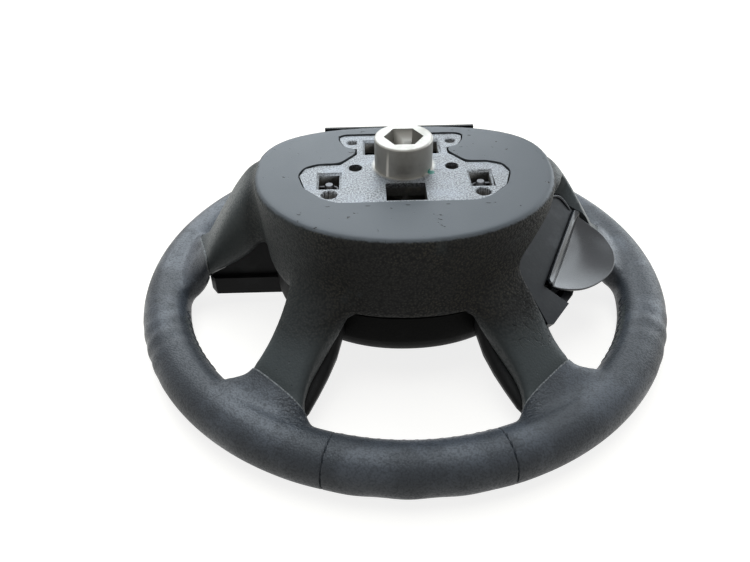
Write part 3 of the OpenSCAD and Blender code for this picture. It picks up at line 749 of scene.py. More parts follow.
@dataclass(frozen=True)
class PlasticFinish:
    """Moulded plastic or rubber with a fine or coarse grain."""

    name: str
    base: Triple
    light: Triple
    roughness: float
    cell_mm: float
    depth_mm: float
    dust: float = 0.12
    gloss: float = 0.1
    dust_tone: Triple = (0.32, 0.31, 0.28)

    def build(self, effects: Effects) -> bpy.types.Material:
        """Returns the material."""
        material, s, body = start_material(self.name, self.gloss)
        at = s.place()
        grain = effects.grained(s, at, self.cell_mm, 0.9)
        rub = effects.rubbed(s, at, 22.0, 0.45)
        dust = s.group(effects.dust, {"Place": at, "Amount": self.dust}).outputs[0]
        tone = s.blend(dust, s.blend(rub, self.base, self.light), self.dust_tone)
        rough = s.line(rub, -0.08, s.line(dust, 0.4, self.roughness))
        coat(s, body, tone, rough, grain.outputs["Height"], self.depth_mm, 0.8)
        return material


@dataclass(frozen=True)
class MetalFinish:
    """Drawn, pressed or oiled steel."""

    name: str
    bright: Triple
    dull: Triple
    roughness: float

    def build(self, effects: Effects) -> bpy.types.Material:
        """Returns the material."""
        material, s, body = start_material(self.name)
        at = s.place()
        drawn = s.noise(s.node("Mapping", {0: at, 3: (1.0, 1.0, 0.06)}).outputs[0], 1400.0, 3.0, 0.6)
        stain = effects.rubbed(s, at, 9.0, 0.5)
        body.inputs["Metallic"].default_value = 1.0
        coat(s, body, s.blend(stain, self.bright, self.dull), s.line(drawn, 0.2, self.roughness), drawn, 0.04)
        return material


@dataclass(frozen=True)
class BagFabricFinish:
    """Woven nylon of the folded bag."""

    thread: Triple = (0.72, 0.72, 0.69)
    shade: Triple = (0.50, 0.50, 0.48)
    weave_scale: float = 420.0

    def build(self) -> bpy.types.Material:
        """Returns the material."""
        material, s, body = start_material("bag_fabric")
        warp, weft = (s.node("TexWave", {"Vector": s.place(), "Scale": self.weave_scale},
                             bands_direction=way).outputs["Fac"] for way in "XY")
        weave = s.times(warp, weft)
        coat(s, body, s.blend(weave, self.shade, self.thread), s.line(weave, -0.1, 0.85), weave, 0.2)
        return material


class Finishes:
    """Every material of the wheel, built once."""

    def __init__(self) -> None:
        """Builds the shader groups and the materials."""
        fx = Effects()
        self.leather = LeatherFinish().build(fx)
        self.cut_edge = CutEdgeFinish().build()
        self.thread = ThreadFinish().build()
        self.foam = HubFoamFinish().build(fx)
        self.inner_foam = PlasticFinish("inner_foam", (0.05, 0.05, 0.048), (0.08, 0.08, 0.075),
                                        0.8, 0.9, 0.25, 0.0).build(fx)
        self.casting = CastPlateFinish().build(fx)
        self.trim = PlasticFinish("trim_plastic", (0.0045, 0.0047, 0.005), (0.009, 0.0095, 0.010),
                                  0.46, 0.5, 0.10, 0.05, 0.12).build(fx)
        self.cover = PlasticFinish("cover_plastic", (0.0025, 0.0026, 0.0024), (0.0045, 0.0046, 0.0043),
                                   0.50, 0.8, 0.14, 0.02, 0.05).build(fx)
        self.key = PlasticFinish("key_rubber", (0.005, 0.005, 0.0052), (0.010, 0.010, 0.0105),
                                 0.62, 0.35, 0.06, 0.04, 0.10).build(fx)
        self.paddle = PlasticFinish("paddle_plastic", (0.013, 0.0155, 0.0195), (0.020, 0.0235, 0.029),
                                    0.26, 0.6, 0.008, 0.01, 0.6).build(fx)
        self.housing = PlasticFinish("housing_plastic", (0.008, 0.0095, 0.012), (0.015, 0.017, 0.021),
                                     0.36, 2.4, 0.04, 0.03, 0.14).build(fx)
        self.steel = MetalFinish("zinc_steel", (0.55, 0.55, 0.54), (0.36, 0.35, 0.33), 0.28).build(fx)
        self.core = MetalFinish("core_steel", (0.30, 0.30, 0.30), (0.16, 0.15, 0.14), 0.45).build(fx)
        self.spring = MetalFinish("spring_wire", (0.09, 0.09, 0.095), (0.05, 0.048, 0.045), 0.32).build(fx)
        self.carrier = PlasticFinish("dull_carrier", (0.15, 0.14, 0.11), (0.24, 0.225, 0.185),
                                     0.6, 0.9, 0.1, 0.2, 0.3).build(fx)
        self.bag = BagFabricFinish().build()


class HubForm:
    """Outlines and stations of the moulding, in millimetres, as the solids have them."""

    ring_r = 182.5
    ring_z = 16.5
    grip_w = 35.0
    grip_h = 33.0
    back_z = 121.0
    skirt_z = 62.0
    flange_top = 114.0
    flange_z = 110.0
    half_w = 105.0
    near = 92.6
    far = 65.0
    low = 4.0
    lean = 7.0
    edge_r = 4.0
    foam_wall = 12.0
    lower_foot = np.array([57.7, -70.5])
    lower_turn = math.radians(28.3)
    side_foot = np.array([88.0, 12.0])
    lower_rows = [
        [0, 22, 31, 0.72, 0.46], [0.09, 20, 27, 0.62, 0.37], [0.18, 19, 23.5, 0.53, 0.26],
        [0.30, 18.5, 20, 0.43, 0.16], [0.43, 18.5, 18.5, 0.345, 0.10], [0.55, 19.5, 18.5, 0.275, 0.065],
        [0.65, 22, 20, 0.22, 0.03], [0.71, 27, 22, 0.19, -0.02], [0.77, 37, 27, 0.17, -0.07],
        [0.86, 52, 38, 0.14, -0.10]]
    bay_swell = [9, 8, 6.5, 3.5, 1, 0, 0, 0, 0, 0]
    side_rows = [
        [0, 26, 29, 0.985, 0.45], [0.10, 27, 28, 0.965, 0.45], [0.19, 30, 27, 0.91, 0.40],
        [0.29, 33, 26.5, 0.84, 0.31], [0.40, 35, 25.5, 0.715, 0.235], [0.52, 34, 25, 0.55, 0.18],
        [0.63, 32, 24.5, 0.39, 0.14], [0.70, 31, 24.5, 0.29, 0.02], [0.75, 35, 26, 0.24, -0.04],
        [0.82, 42, 31, 0.185, -0.08], [0.88, 52, 42, 0.14, -0.10]]
    points = 160
    far_power = 2.8
    near_power = 2.12
    spoke_power = 3.2
    lower_sunk = 0.10
    side_sunk = 0.12
    under_h = 5.0
    under_out = 0.5
    skirt_step = 1.5
    skirt_out = 2.0

    @classmethod
    def drop(cls) -> float:
        """Returns the height of the flat back above the ring."""
        return cls.back_z - cls.ring_z

    @classmethod
    def lower_run(cls) -> float:
        """Returns the length of a lower spoke in plan."""
        x, y = cls.lower_foot
        c, s = math.cos(cls.lower_turn), math.sin(cls.lower_turn)
        return math.sqrt(cls.ring_r ** 2 - (x * c + y * s) ** 2) - (x * s - y * c)

    @classmethod
    def side_run(cls) -> float:
        """Returns the length of a side spoke in plan."""
        return math.sqrt(cls.ring_r ** 2 - cls.side_foot[1] ** 2) - cls.side_foot[0]

    @classmethod
    def outline(cls, d: float, lean: float) -> np.ndarray:
        """Returns the hub's outline.

        Args:
            d: How far it is moved outwards.
            lean: How far its sides lean in.
        """
        a = full_turn(cls.points)
        up = np.sin(a) >= 0
        h = np.where(up, cls.far, cls.near)
        p = np.where(up, cls.far_power, cls.near_power)
        x = (cls.half_w - lean + d) * power(np.cos(a), 2 / p)
        return np.c_[x, (h + d) * power(np.sin(a), 2 / p) - cls.low]

    @classmethod
    def level(cls, z: float, d: float, lean: float) -> np.ndarray:
        """Returns the hub's outline as a ring of points at a height."""
        flat = cls.outline(d, lean)
        return np.c_[flat, np.full(len(flat), z)]

    @classmethod
    def spoke(cls, foot: np.ndarray, turn: float, run: float, rows: np.ndarray) -> Skin:
        """Lofts a spoke through its stations.

        Args:
            foot: Where it starts in plan.
            turn: Its direction in plan, from 6 o'clock.
            run: Its length in plan.
            rows: Stations: share of the way, reach left and right, back and front.

        Returns:
            The closed skin of the spoke.
        """
        a = full_turn(48)
        along = np.array([math.sin(turn), -math.cos(turn)])
        across = np.array([math.cos(turn), math.sin(turn)])
        rings = []
        for share, left, right, back, front in rows:
            zb, zf = cls.ring_z + back * cls.drop(), cls.ring_z + front * cls.drop()
            x = (left - right) / 2 + (left + right) / 2 * power(np.cos(a), 2 / cls.spoke_power)
            z = (zb + zf) / 2 + (zb - zf) / 2 * power(np.sin(a), 2 / cls.spoke_power)
            plan = foot + share * run * along + x[:, None] * across
            rings.append(np.c_[plan, z])
        return loft(rings[::-1])

    @classmethod
    def lower_spoke(cls, rows: list[list[float]], swell: list[float] | None = None) -> Skin:
        """Returns the lower spoke on the right, swollen on its left where swell says."""
        table = np.array(rows, float)
        if swell:
            table[:, 1] += np.array(swell)
        head = table[:1] - [cls.lower_sunk, 0, 0, 0, 0]
        return cls.spoke(cls.lower_foot, cls.lower_turn, cls.lower_run(), np.r_[head, smooth_rows(table, 5)])

    @classmethod
    def side_spoke(cls) -> Skin:
        """Returns the side spoke on the right."""
        table = np.array(cls.side_rows, float)
        head = table[:1] - [cls.side_sunk, 0, 0, 0, 0]
        return cls.spoke(cls.side_foot, math.pi / 2, cls.side_run(), np.r_[head, smooth_rows(table, 5)])

    @classmethod
    def grip_point(cls, angle: np.ndarray, turn: np.ndarray, lift: float = 0.0) -> np.ndarray:
        """Returns points of the grip's skin.

        Args:
            angle: Angle round the wheel, from 6 o'clock towards the right.
            turn: Angle round the section, from its outer side towards the back.
            lift: Height over the skin.
        """
        reach = cls.grip_h / 2 + lift
        spread = (cls.grip_w - cls.grip_h) / 2
        r = cls.ring_r + reach * np.cos(turn) + spread * np.tanh(6 * np.cos(turn))
        return np.stack([r * np.sin(angle), -r * np.cos(angle), cls.ring_z + reach * np.sin(turn)], -1)

    @classmethod
    def grip(cls) -> Skin:
        """Returns the closed ring of the grip."""
        n, m = 320, 56
        angle, turn = np.meshgrid(full_turn(n), full_turn(m), indexing="ij")
        points = cls.grip_point(angle, turn).reshape(-1, 3)
        faces = [(i * m + k, ((i + 1) % n) * m + k, ((i + 1) % n) * m + (k + 1) % m, i * m + (k + 1) % m)
                 for i in range(n) for k in range(m)]
        return Skin(points, faces)

    @classmethod
    def hub_block(cls) -> Skin:
        """Returns the hub without its cavity."""
        rings = [cls.level(cls.skirt_z - cls.under_h, cls.under_out, cls.lean),
                 cls.level(cls.skirt_z, cls.under_out, cls.lean),
                 cls.level(cls.skirt_z + cls.skirt_step, cls.skirt_out, cls.lean)]
        for a in np.linspace(0, math.pi / 2, 7):
            rings.append(cls.level(cls.back_z - cls.edge_r + cls.edge_r * math.sin(a),
                                   -cls.edge_r * (1 - math.cos(a)), 0))
        return loft(rings)


class PaddleFrame:
    """The plane of the paddle's housing: along the ridge, outwards, and away from the face."""

    top = np.array([127.0, 3.0, 76.0])
    low = np.array([95.0, -64.0, 63.0])
    outline = np.array([[7, -21.5], [-2, -20], [-6, -14], [-5, -9], [-1, -1], [8, 14], [40, 24], [66, 25],
                        [89, 19.5], [104, 16], [107, 12], [93, -7], [83, -23.5], [79, -25]])
    blade_edge = [[0.5, 2.5], [2, 13], [5, 29], [15, 41], [29.5, 44], [46, 39], [62, 28.5], [73, 14.5],
                  [78, 2]]
    lean = [[-1.3, 0], [0.4, -0.12], [0, 0.75], [0.9, 0.2]]
    depth = 20.0
    bay_heights = (0, 12, 30)
    top_end = (22, 26)
    free_side = (-21, 16)
    low_end = (60, 25)

    def __init__(self) -> None:
        """Works out the three directions."""
        self.length = float(np.linalg.norm(self.low - self.top))
        self.along = (self.low - self.top) / self.length
        normal = np.cross(self.along, [0.80, -0.30, -0.52])
        self.normal = normal / np.linalg.norm(normal)
        self.out = np.cross(self.normal, self.along)

    def world(self, points: np.ndarray) -> np.ndarray:
        """Returns points of the frame as points of the wheel."""
        p = np.atleast_2d(points)
        return self.top + p[:, :1] * self.along + p[:, 1:2] * self.out + p[:, 2:3] * self.normal

    def placed(self, skin: Skin) -> Skin:
        """Returns a skin of the frame, placed on the wheel."""
        return Skin(self.world(skin.points), skin.faces)


@dataclass
class Moulding:
    """Foam of hub and spokes and leather of the rim, one skin that is parted at the leather's edge."""

    finishes: Finishes
    voxel: float = 1.7
    leather_s: float = 64.6
    leather_slant: float = -0.24
    side_leather_s: float = 67.5
    side_slant: float = 0.30
    edge_w: float = 0.8
    edge_t: float = 1.5
    tuck_w: float = 4.0
    tuck_depth: float = 0.75
    rim_side: float = 169.0
    spoke_half: float = 60.0
    spoke_start: float = 25.0
    cut_reach: float = 20.0
    cut_r: float = 172.0
    cut_half: float = 62.0
    snap_m: float = 0.00002
    corner_r: float = 178.0
    corner_z: float = 118.5
    corner_rounds: int = 72
    seam_angles: tuple[float, ...] = (-17.0, 17.0, 138.0, -138.0)
    seam_r: float = 160.0
    seam_half: float = 1.1
    seam_reach: float = 4.0
    seam_depth: float = 0.9
    finger_r: float = 168.0
    fingers: tuple[tuple[float, ...], ...] = ((-2.0, 14.0, 10.5, 0.75), (-67.0, 7.0, 5.0, 0.7),
                                              (67.0, 7.0, 5.5, 0.7))

    def draw(self) -> None:
        """Builds the whole skin, cuts it and parts it."""
        form = HubForm
        spoke = form.lower_spoke(form.lower_rows)
        swollen = form.lower_spoke(form.lower_rows, form.bay_swell)
        side = form.side_spoke()
        skins = [form.hub_block(), form.grip(), swollen, spoke.mirrored(), side, side.mirrored()]
        whole = fused("moulding", [k.build("part") for k in skins], self.voxel)
        whole = fused("moulding", [carved(whole, [self.bay(1.0, 1.0)])], self.voxel)
        self.soften(whole)
        carved(whole, self.cutters())
        self.part(whole)

    def soften(self, whole: bpy.types.Object) -> None:
        """Evens the skin, fills the corners and draws the marks of hands.

        Args:
            whole: The fused skin.
        """
        moving = Relaxer(whole.data)
        moving.even(6)
        p = moving.co
        r = np.hypot(p[:, 0], p[:, 1])
        inner = np.clip((self.corner_r - r) / 14, 0, 1) * np.clip((self.corner_z - p[:, 2]) / 3, 0, 1)
        moving.fill_corners(self.corner_rounds, inner)
        moving.even(3)
        self.press_fingers(moving)
        moving.store()

    def press_fingers(self, moving: Relaxer) -> None:
        """Presses shallow finger waves into the grip."""
        p = moving.co
        angle = np.degrees(np.arctan2(p[:, 0], -p[:, 1]))
        n = moving.normals()
        outer = np.clip((np.hypot(p[:, 0], p[:, 1]) - self.finger_r) / 8, 0, 1)
        for middle, spread, wave, depth in self.fingers:
            gap = (angle - middle) / spread
            ripple = 0.5 - 0.5 * np.cos((angle - middle) / wave * 2 * math.pi)
            moving.co -= n * (depth * np.exp(-gap ** 2) * ripple * outer)[:, None]

    @staticmethod
    def bay(gap: float, depth: float) -> Skin:
        """Returns the room for the paddle's housing, which opens out over its face.

        Args:
            gap: Room round the housing.
            depth: How far it reaches below the face.
        """
        paddle = PaddleFrame()
        low = offset_outline(paddle.outline[::-1], gap)
        end = np.clip((paddle.top_end[0] - low[:, :1]) / paddle.top_end[1], 0, 1)
        free = np.clip((low[:, 1:] - paddle.free_side[0]) / paddle.free_side[1], 0, 1)
        foot = np.clip((low[:, :1] - paddle.low_end[0]) / paddle.low_end[1], 0, 1)
        top, hub, rim, lower = (np.array([row]) for row in paddle.lean)
        lean = end * top + (1 - end) * ((1 - free) * hub + free * ((1 - foot) * rim + foot * lower))
        rings = [np.c_[low + lean * max(h, 0), np.full(len(low), h)] for h in (-depth, *paddle.bay_heights)]
        return paddle.placed(loft(rings))

    def cutters(self) -> list[Skin]:
        """Returns what is cut out: cavity, plate, guard's pocket, bezel seats, room for housing and blade."""
        form = HubForm
        paddle = PaddleFrame()
        pocket = np.array([[-57.8, 59.4], [57.8, 59.4], [57.8, 90], [-57.8, 90]])
        seat = prism([[80, -5.5], [140.9, -5.5], [145.9, 2], [147.9, 12], [145.9, 22], [140.9, 29.5],
                      [80, 29.5]], 12, 27)
        blade = np.r_[[[0.0, 0.0]], smooth_rows(paddle.blade_edge, 3)]
        return [
            prism(form.outline(-form.foam_wall, form.lean), 20, form.flange_top),
            prism(form.outline(1.5, form.lean), -6, form.skirt_z),
            prism(Plate.outline(0), form.flange_z, 160),
            prism(pocket, 80, 140),
            seat,
            seat.mirrored(),
            self.bay(0.9, paddle.depth),
            paddle.placed(prism(offset_outline(blade[::-1], 2.5), -paddle.depth, 40))]

    @staticmethod
    def spoke_axes() -> list[tuple[np.ndarray, np.ndarray, np.ndarray, bool]]:
        """Returns foot, direction, cross direction and kind of each spoke, in plan."""
        kinds = ((HubForm.lower_foot, HubForm.lower_turn, True), (HubForm.side_foot, math.pi / 2, False))
        result = []
        for sign in (1, -1):
            flip = np.array([sign, 1])
            for foot, turn, lower in kinds:
                along = np.array([math.sin(turn), -math.cos(turn)]) * flip
                across = np.array([math.cos(turn), math.sin(turn)]) * flip
                result.append((foot * flip, along, across, lower))
        return result

    def leather_edge(self, lower: bool) -> tuple[float, float]:
        """Returns start and slant of the leather on a lower or a side spoke."""
        return (self.leather_s, self.leather_slant) if lower else (self.side_leather_s, self.side_slant)

    def beyond(self, xy: np.ndarray) -> np.ndarray:
        """Returns how far plan points lie past the edge of the leather, in millimetres."""
        never = -1e3
        on_rim = 50.0
        best = np.full(len(xy), never)
        for foot, along, across, lower in self.spoke_axes():
            s = (xy - foot) @ along
            t = (xy - foot) @ across
            start, slant = self.leather_edge(lower)
            on_spoke = (np.abs(t) < self.spoke_half) & (s > self.spoke_start)
            best = np.maximum(best, np.where(on_spoke, s - (start + slant * t), never))
        rim = np.hypot(xy[:, 0], xy[:, 1]) > self.rim_side
        return np.where(rim, np.maximum(best, on_rim), best)

    def part(self, whole: bpy.types.Object) -> None:
        """Parts the skin at the leather's edge and dresses both pieces.

        Args:
            whole: The cut skin.
        """
        shape = bmesh.new()
        shape.from_mesh(whole.data)
        removed(whole)
        for foot, along, across, lower in self.spoke_axes():
            start, slant = self.leather_edge(lower)
            normal = along - slant * across
            on = foot + along * start
            normal /= np.linalg.norm(normal)
            for d in (0.0, self.edge_w):
                self.split(shape, on + normal * d, normal, self.cut_reach,
                           lambda q: np.hypot(q[0], q[1]) < self.cut_r)
        self.cut_seams(shape)
        pieces = {}
        for keep_leather in (True, False):
            copy = shape.copy()
            centres = np.array([f.calc_center_median()[:2] for f in copy.faces]) / MM
            past = self.beyond(centres)
            is_leather = past > 0
            for face, gap in zip(copy.faces, past):
                face.material_index = int(0 < gap < self.edge_w)
            drop = [f for f, held in zip(copy.faces, is_leather) if held != keep_leather]
            bmesh.ops.delete(copy, geom=drop, context="FACES")
            self.finish_edge(copy, keep_leather)
            name = "rim_leather" if keep_leather else "hub_foam"
            mesh = bpy.data.meshes.new(name)
            copy.to_mesh(mesh)
            copy.free()
            mesh.set_sharp_from_angle(angle=math.radians(38))
            pieces[name] = placed_object(name, mesh)
            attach(pieces[name], "wheel")
        shape.free()
        leather, foam = pieces["rim_leather"], pieces["hub_foam"]
        leather.data.materials.append(self.finishes.leather)
        leather.data.materials.append(self.finishes.cut_edge)
        foam.data.materials.append(self.finishes.foam)
        foam.data.materials.append(self.finishes.foam)
        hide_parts("leather_lower", "leather_right", "leather_upper", "leather_left",
                    "root_lower_right", "root_lower_left", "root_side_right", "root_side_left")
        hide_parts("foam_hub", "foam_lower_right", "foam_lower_left", "foam_side_right",
                    "foam_side_left")

    def split(self, shape: bmesh.types.BMesh, on: np.ndarray, normal: np.ndarray, reach: float,
              where: object) -> None:
        """Cuts the faces near an upright plane in two along it.

        Args:
            shape: The skin.
            on: A point of the plane, in plan.
            normal: Its normal, in plan.
            reach: How far from the plane faces are looked at.
            where: Tells for a point in plan whether its faces are cut.
        """
        near = []
        for face in shape.faces:
            middle = face.calc_center_median()
            q = np.array([middle.x, middle.y]) / MM
            if abs((q - on) @ normal) < reach and np.linalg.norm(q - on) < self.cut_half and where(q):
                near.append(face)
        parts = list({v for f in near for v in f.verts}) + list({e for f in near for e in f.edges}) + near
        bmesh.ops.bisect_plane(shape, geom=parts, dist=self.snap_m, plane_co=(*(on * MM), 0),
                               plane_no=(*normal, 0))

    def cut_seams(self, shape: bmesh.types.BMesh) -> None:
        """Draws the radial seams of the leather as shallow grooves.

        Args:
            shape: The skin.
        """
        for degrees in self.seam_angles:
            a = math.radians(degrees)
            ray = np.array([math.sin(a), -math.cos(a)])
            normal = np.array([math.cos(a), math.sin(a)])
            on = ray * HubForm.ring_r
            for shift in (-self.seam_half, 0.0, self.seam_half):
                self.split(shape, on + normal * shift, normal, self.seam_reach,
                           lambda q: np.hypot(q[0], q[1]) > self.seam_r)
            shape.normal_update()
            for v in shape.verts:
                q = np.array([v.co.x, v.co.y]) / MM
                if abs(q @ normal) < 0.06 and q @ ray > self.seam_r:
                    v.co -= v.normal * self.seam_depth * MM

    def finish_edge(self, shape: bmesh.types.BMesh, leather: bool) -> None:
        """Turns the open edge of a piece in: a cut edge on the leather, a tuck on the foam.

        Args:
            shape: The piece.
            leather: Whether it is the leather.
        """
        shape.normal_update()
        if not leather:
            for v in shape.verts:
                gap = -self.beyond(np.array([[v.co.x, v.co.y]]) / MM)[0]
                if gap < self.tuck_w:
                    v.co -= v.normal * self.tuck_depth * MM * (1 - max(gap, 0.0) / self.tuck_w)
            return
        rim = [e for e in shape.edges if e.is_boundary]
        inward = {v: v.co - v.normal * self.edge_t * MM for e in rim for v in e.verts}
        made = bmesh.ops.extrude_edge_only(shape, edges=rim)["geom"]
        for v in (g for g in made if isinstance(g, bmesh.types.BMVert)):
            near = [o for e in v.link_edges for o in e.verts if o in inward]
            v.co = inward[min(near, key=lambda o: (o.co - v.co).length)]
        for face in (g for g in made if isinstance(g, bmesh.types.BMFace)):
            face.material_index = 1


class Plate:
    """Opening in the foam over the uncovered plate."""

    half = [[0, 47.5], [42, 47.5], [47, 44], [46, 36], [41.5, 26.5], [34, 24], [34, 17], [45, 3], [60, 2.5],
            [70, -2], [74, -13], [69, -31], [57, -44.5], [46, -50.4], [0, -50.4]]

    @classmethod
    def outline(cls, d: float) -> np.ndarray:
        """Returns the opening's outline, moved outwards by d."""
        right = np.array(cls.half, float)
        left = right[1:-1][::-1] * [-1, 1]
        return offset_outline(rounded_outline(np.r_[right, left][::-1], 4.5), d)


@dataclass
class Stitching:
    """Cross stitches that close the leather on the inner side of the rim."""

    finishes: Finishes
    pitch: float = 3.6
    reach: float = 2.6
    thread: float = 0.5
    arch: float = 0.3
    sunk: float = 0.25
    inner_r: float = 166.0
    steps: int = 6
    sides: int = 6
    middle_turn: float = 158.0
    spans: tuple[tuple[float, float], ...] = ((-17, 17), (52, 77), (110, 250), (283, 308))

    def draw(self) -> None:
        """Builds all stitches as one piece."""
        points: list[np.ndarray] = []
        faces: list[tuple[int, ...]] = []
        for low, high in self.spans:
            count = int(math.radians(high - low) * self.inner_r / self.pitch)
            angles = np.radians(np.linspace(low, high, count))
            for i in range(count - 1):
                self.add_stitch(points, faces, (angles[i], angles[i + 1]), 1 if i % 2 else -1)
        piece = Skin(np.array(points), faces).build("rim_stitches")
        piece.data.materials.append(self.finishes.thread)
        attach(piece, "wheel")

    def add_stitch(self, points: list[np.ndarray], faces: list[tuple[int, ...]],
                   angles: tuple[float, float], side: int) -> None:
        """Adds one stitch, a short bent strand that dives into the leather at both ends.

        Args:
            points: Points so far.
            faces: Faces so far.
            angles: Its two ends round the wheel.
            side: Which way it slants.
        """
        start = len(points)
        steps = self.steps
        sides = self.sides
        swing = math.degrees(self.reach / (HubForm.grip_h / 2))
        for k in range(steps):
            t = k / (steps - 1)
            lift = self.arch * math.sin(math.pi * t) - self.sunk
            turn = math.radians(self.middle_turn + side * swing * (2 * t - 1))
            angle = angles[0] + (angles[1] - angles[0]) * t
            middle = HubForm.grip_point(np.array(angle), np.array(turn), lift)
            up = HubForm.grip_point(np.array(angle), np.array(turn), lift + 1) - middle
            on = HubForm.grip_point(np.array(angle + 0.01), np.array(turn + side * 0.18), lift) - middle
            across = np.cross(on, up)
            across /= np.linalg.norm(across)
            for j in range(sides):
                a = j * 2 * math.pi / sides
                points.append(middle + self.thread * (math.cos(a) * up + math.sin(a) * across))
        for k in range(steps - 1):
            for j in range(sides):
                a, b = start + k * sides + j, start + k * sides + (j + 1) % sides
                faces.append((a, b, b + sides, a + sides))
        faces.append(tuple(start + j for j in range(sides - 1, -1, -1)))
        faces.append(tuple(start + (steps - 1) * sides + j for j in range(sides)))


@dataclass
class Paddle:
    """Paddle behind the right spoke: a scooped blade on a barrel, with the lip and wall of its housing."""

    finishes: Finishes
    frame: PaddleFrame = field(default_factory=PaddleFrame)
    blade_t: float = 3.0
    scoop: float = 6.0
    ridge_h: float = 3.6
    bar_w: float = 5.5
    rise: float = 0.097
    soft_edge: float = 1.1
    hinge: tuple[float, float] = (6.0, -11.0)
    barrel: tuple[float, float] = (28.0, 62.7)
    barrel_r: float = 4.0
    bore_r: float = 1.6
    chamfer: float = 0.4
    web_half: float = 2.6
    web_z: tuple[float, float] = (2.0, 7.4)
    wall_strip: tuple[tuple[float, float], ...] = ((80.5, 16), (80.5, 21.4), (66, 25), (58, 24.7), (58, 20))
    wall_z: tuple[float, float] = (-17.5, -6.0)
    lip_path: tuple[tuple[float, float], ...] = (
        (76, -23.6), (50, -22.4), (28, -21.3), (8, -20.2), (0.5, -18.6), (-3.6, -14), (-3, -9), (0.8, -1.5))
    lip_r: float = 1.25
    lip_z: float = 0.35

    def draw(self) -> None:
        """Builds blade, barrel, web, wall and lip."""
        blade = self.frame.placed(self.blade()).build("paddle_blade")
        y, z = self.hinge
        a = full_turn(40)
        step = (0, 0, self.chamfer)
        radii = (self.bore_r, self.barrel_r - self.chamfer, self.barrel_r)
        places = np.add(step + tuple(-k for k in step[::-1]), np.repeat(self.barrel, 3))
        rings = [np.c_[np.full(len(a), x), y + r * np.cos(a), z + r * np.sin(a)]
                 for x, r in zip(places, radii + radii[::-1])]
        barrel = self.frame.placed(hoop(rings)).build("paddle_barrel")
        low, high = self.barrel
        half = self.web_half
        foot = [[low, y - half], [high, y - half], [high, y + half], [low, y + half]]
        web = self.frame.placed(prism(foot, *(z + k for k in self.web_z))).build("paddle_web")
        strip = self.frame.placed(prism(self.wall_strip, *self.wall_z)).build("well_wall")
        lip = self.frame.placed(self.lip()).build("housing_lip")
        for piece, finish in ((strip, self.finishes.housing), (lip, self.finishes.paddle)):
            piece.data.materials.append(finish)
            piece.data.set_sharp_from_angle(angle=math.radians(60))
            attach(piece, "wheel")
        for piece in (blade, barrel, web):
            piece.data.materials.append(self.finishes.paddle)
            piece.data.set_sharp_from_angle(angle=math.radians(40))
            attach(piece, "paddle")
        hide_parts("paddle")

    def lip(self) -> Skin:
        """Returns the rounded lip on the free edge of the housing, from the hub round the top end."""
        path = smooth_rows([list(map(float, row)) for row in self.lip_path], 6)
        along = np.gradient(path, axis=0)
        across = np.c_[along[:, 1], -along[:, 0]] / np.linalg.norm(along, axis=1)[:, None]
        rings = []
        for k, (q, side) in enumerate(zip(path, across)):
            r = self.lip_r * math.sqrt(min(1.0, 0.1 + k / 6, 0.1 + (len(path) - 1 - k) / 6))
            a = full_turn(12)
            rings.append(np.c_[q + r * np.cos(a)[:, None] * side, self.lip_z + r * np.sin(a)])
        return loft(rings)

    def blade(self) -> Skin:
        """Returns the blade in the paddle's frame, with soft edges."""
        n, m = 72, 44
        edge = smooth_rows(self.frame.blade_edge, 9)
        run = np.linspace(0, len(edge) - 1, n + 1)
        edge = np.stack([np.interp(run, np.arange(len(edge)), edge[:, k]) for k in range(2)], 1)
        share = np.linspace(0, 1, n + 1)
        s = (1 - np.cos(np.linspace(0, math.pi, m + 1))) / 2
        root = np.c_[self.frame.length * share, np.full(n + 1, 0.3)]
        flat = root[:, None] + s[None, :, None] * (edge - root)[:, None]
        past = s[None, :] * np.linalg.norm(edge - root, axis=1)[:, None] / self.bar_w
        bend = np.sqrt(1 - (1 - np.clip(past / 0.2, 0, 1)) ** 2)
        drop = 0.5 + 0.5 * np.cos(np.clip((past - 0.8) / 0.7, 0, 1) * math.pi)
        crest = self.ridge_h * np.where(past < 0.5, 0.5 + 0.5 * bend, drop)
        bowl = self.scoop * np.sin(math.pi * share[:, None]) * np.sin(math.pi * s[None, :] ** 0.8)
        w = crest - bowl + self.rise * flat[..., 1]
        ends = np.minimum(*(np.linalg.norm(flat - flat[k:k + 1 or None], axis=2) for k in (0, -1)))
        near = np.minimum(np.linalg.norm(flat - flat[:, -1:], axis=2), ends)
        gap = 1 - np.clip(near / self.soft_edge, 0, 1)
        soft = self.soft_edge * (1 - np.sqrt(1 - gap ** 2))
        top = np.c_[flat.reshape(-1, 2), (w - soft).ravel()]
        low = np.c_[flat.reshape(-1, 2), (w - self.blade_t + soft).ravel()]
        row = m + 1
        count = (n + 1) * row
        quads = [(i * row + k, i * row + k + 1, (i + 1) * row + k + 1, (i + 1) * row + k)
                 for i in range(n) for k in range(m)]
        rim = list(range(row)) + [i * row + m for i in range(1, n + 1)]
        rim += [n * row + k for k in range(m - 1, -1, -1)] + [i * row for i in range(n - 1, 0, -1)]
        wall = [(a, b, b + count, a + count) for a, b in zip(rim, rim[1:] + rim[:1])]
        below = [tuple(v + count for v in q) for q in quads]
        return Skin(np.r_[top, low], [q[::-1] for q in quads] + below + wall)


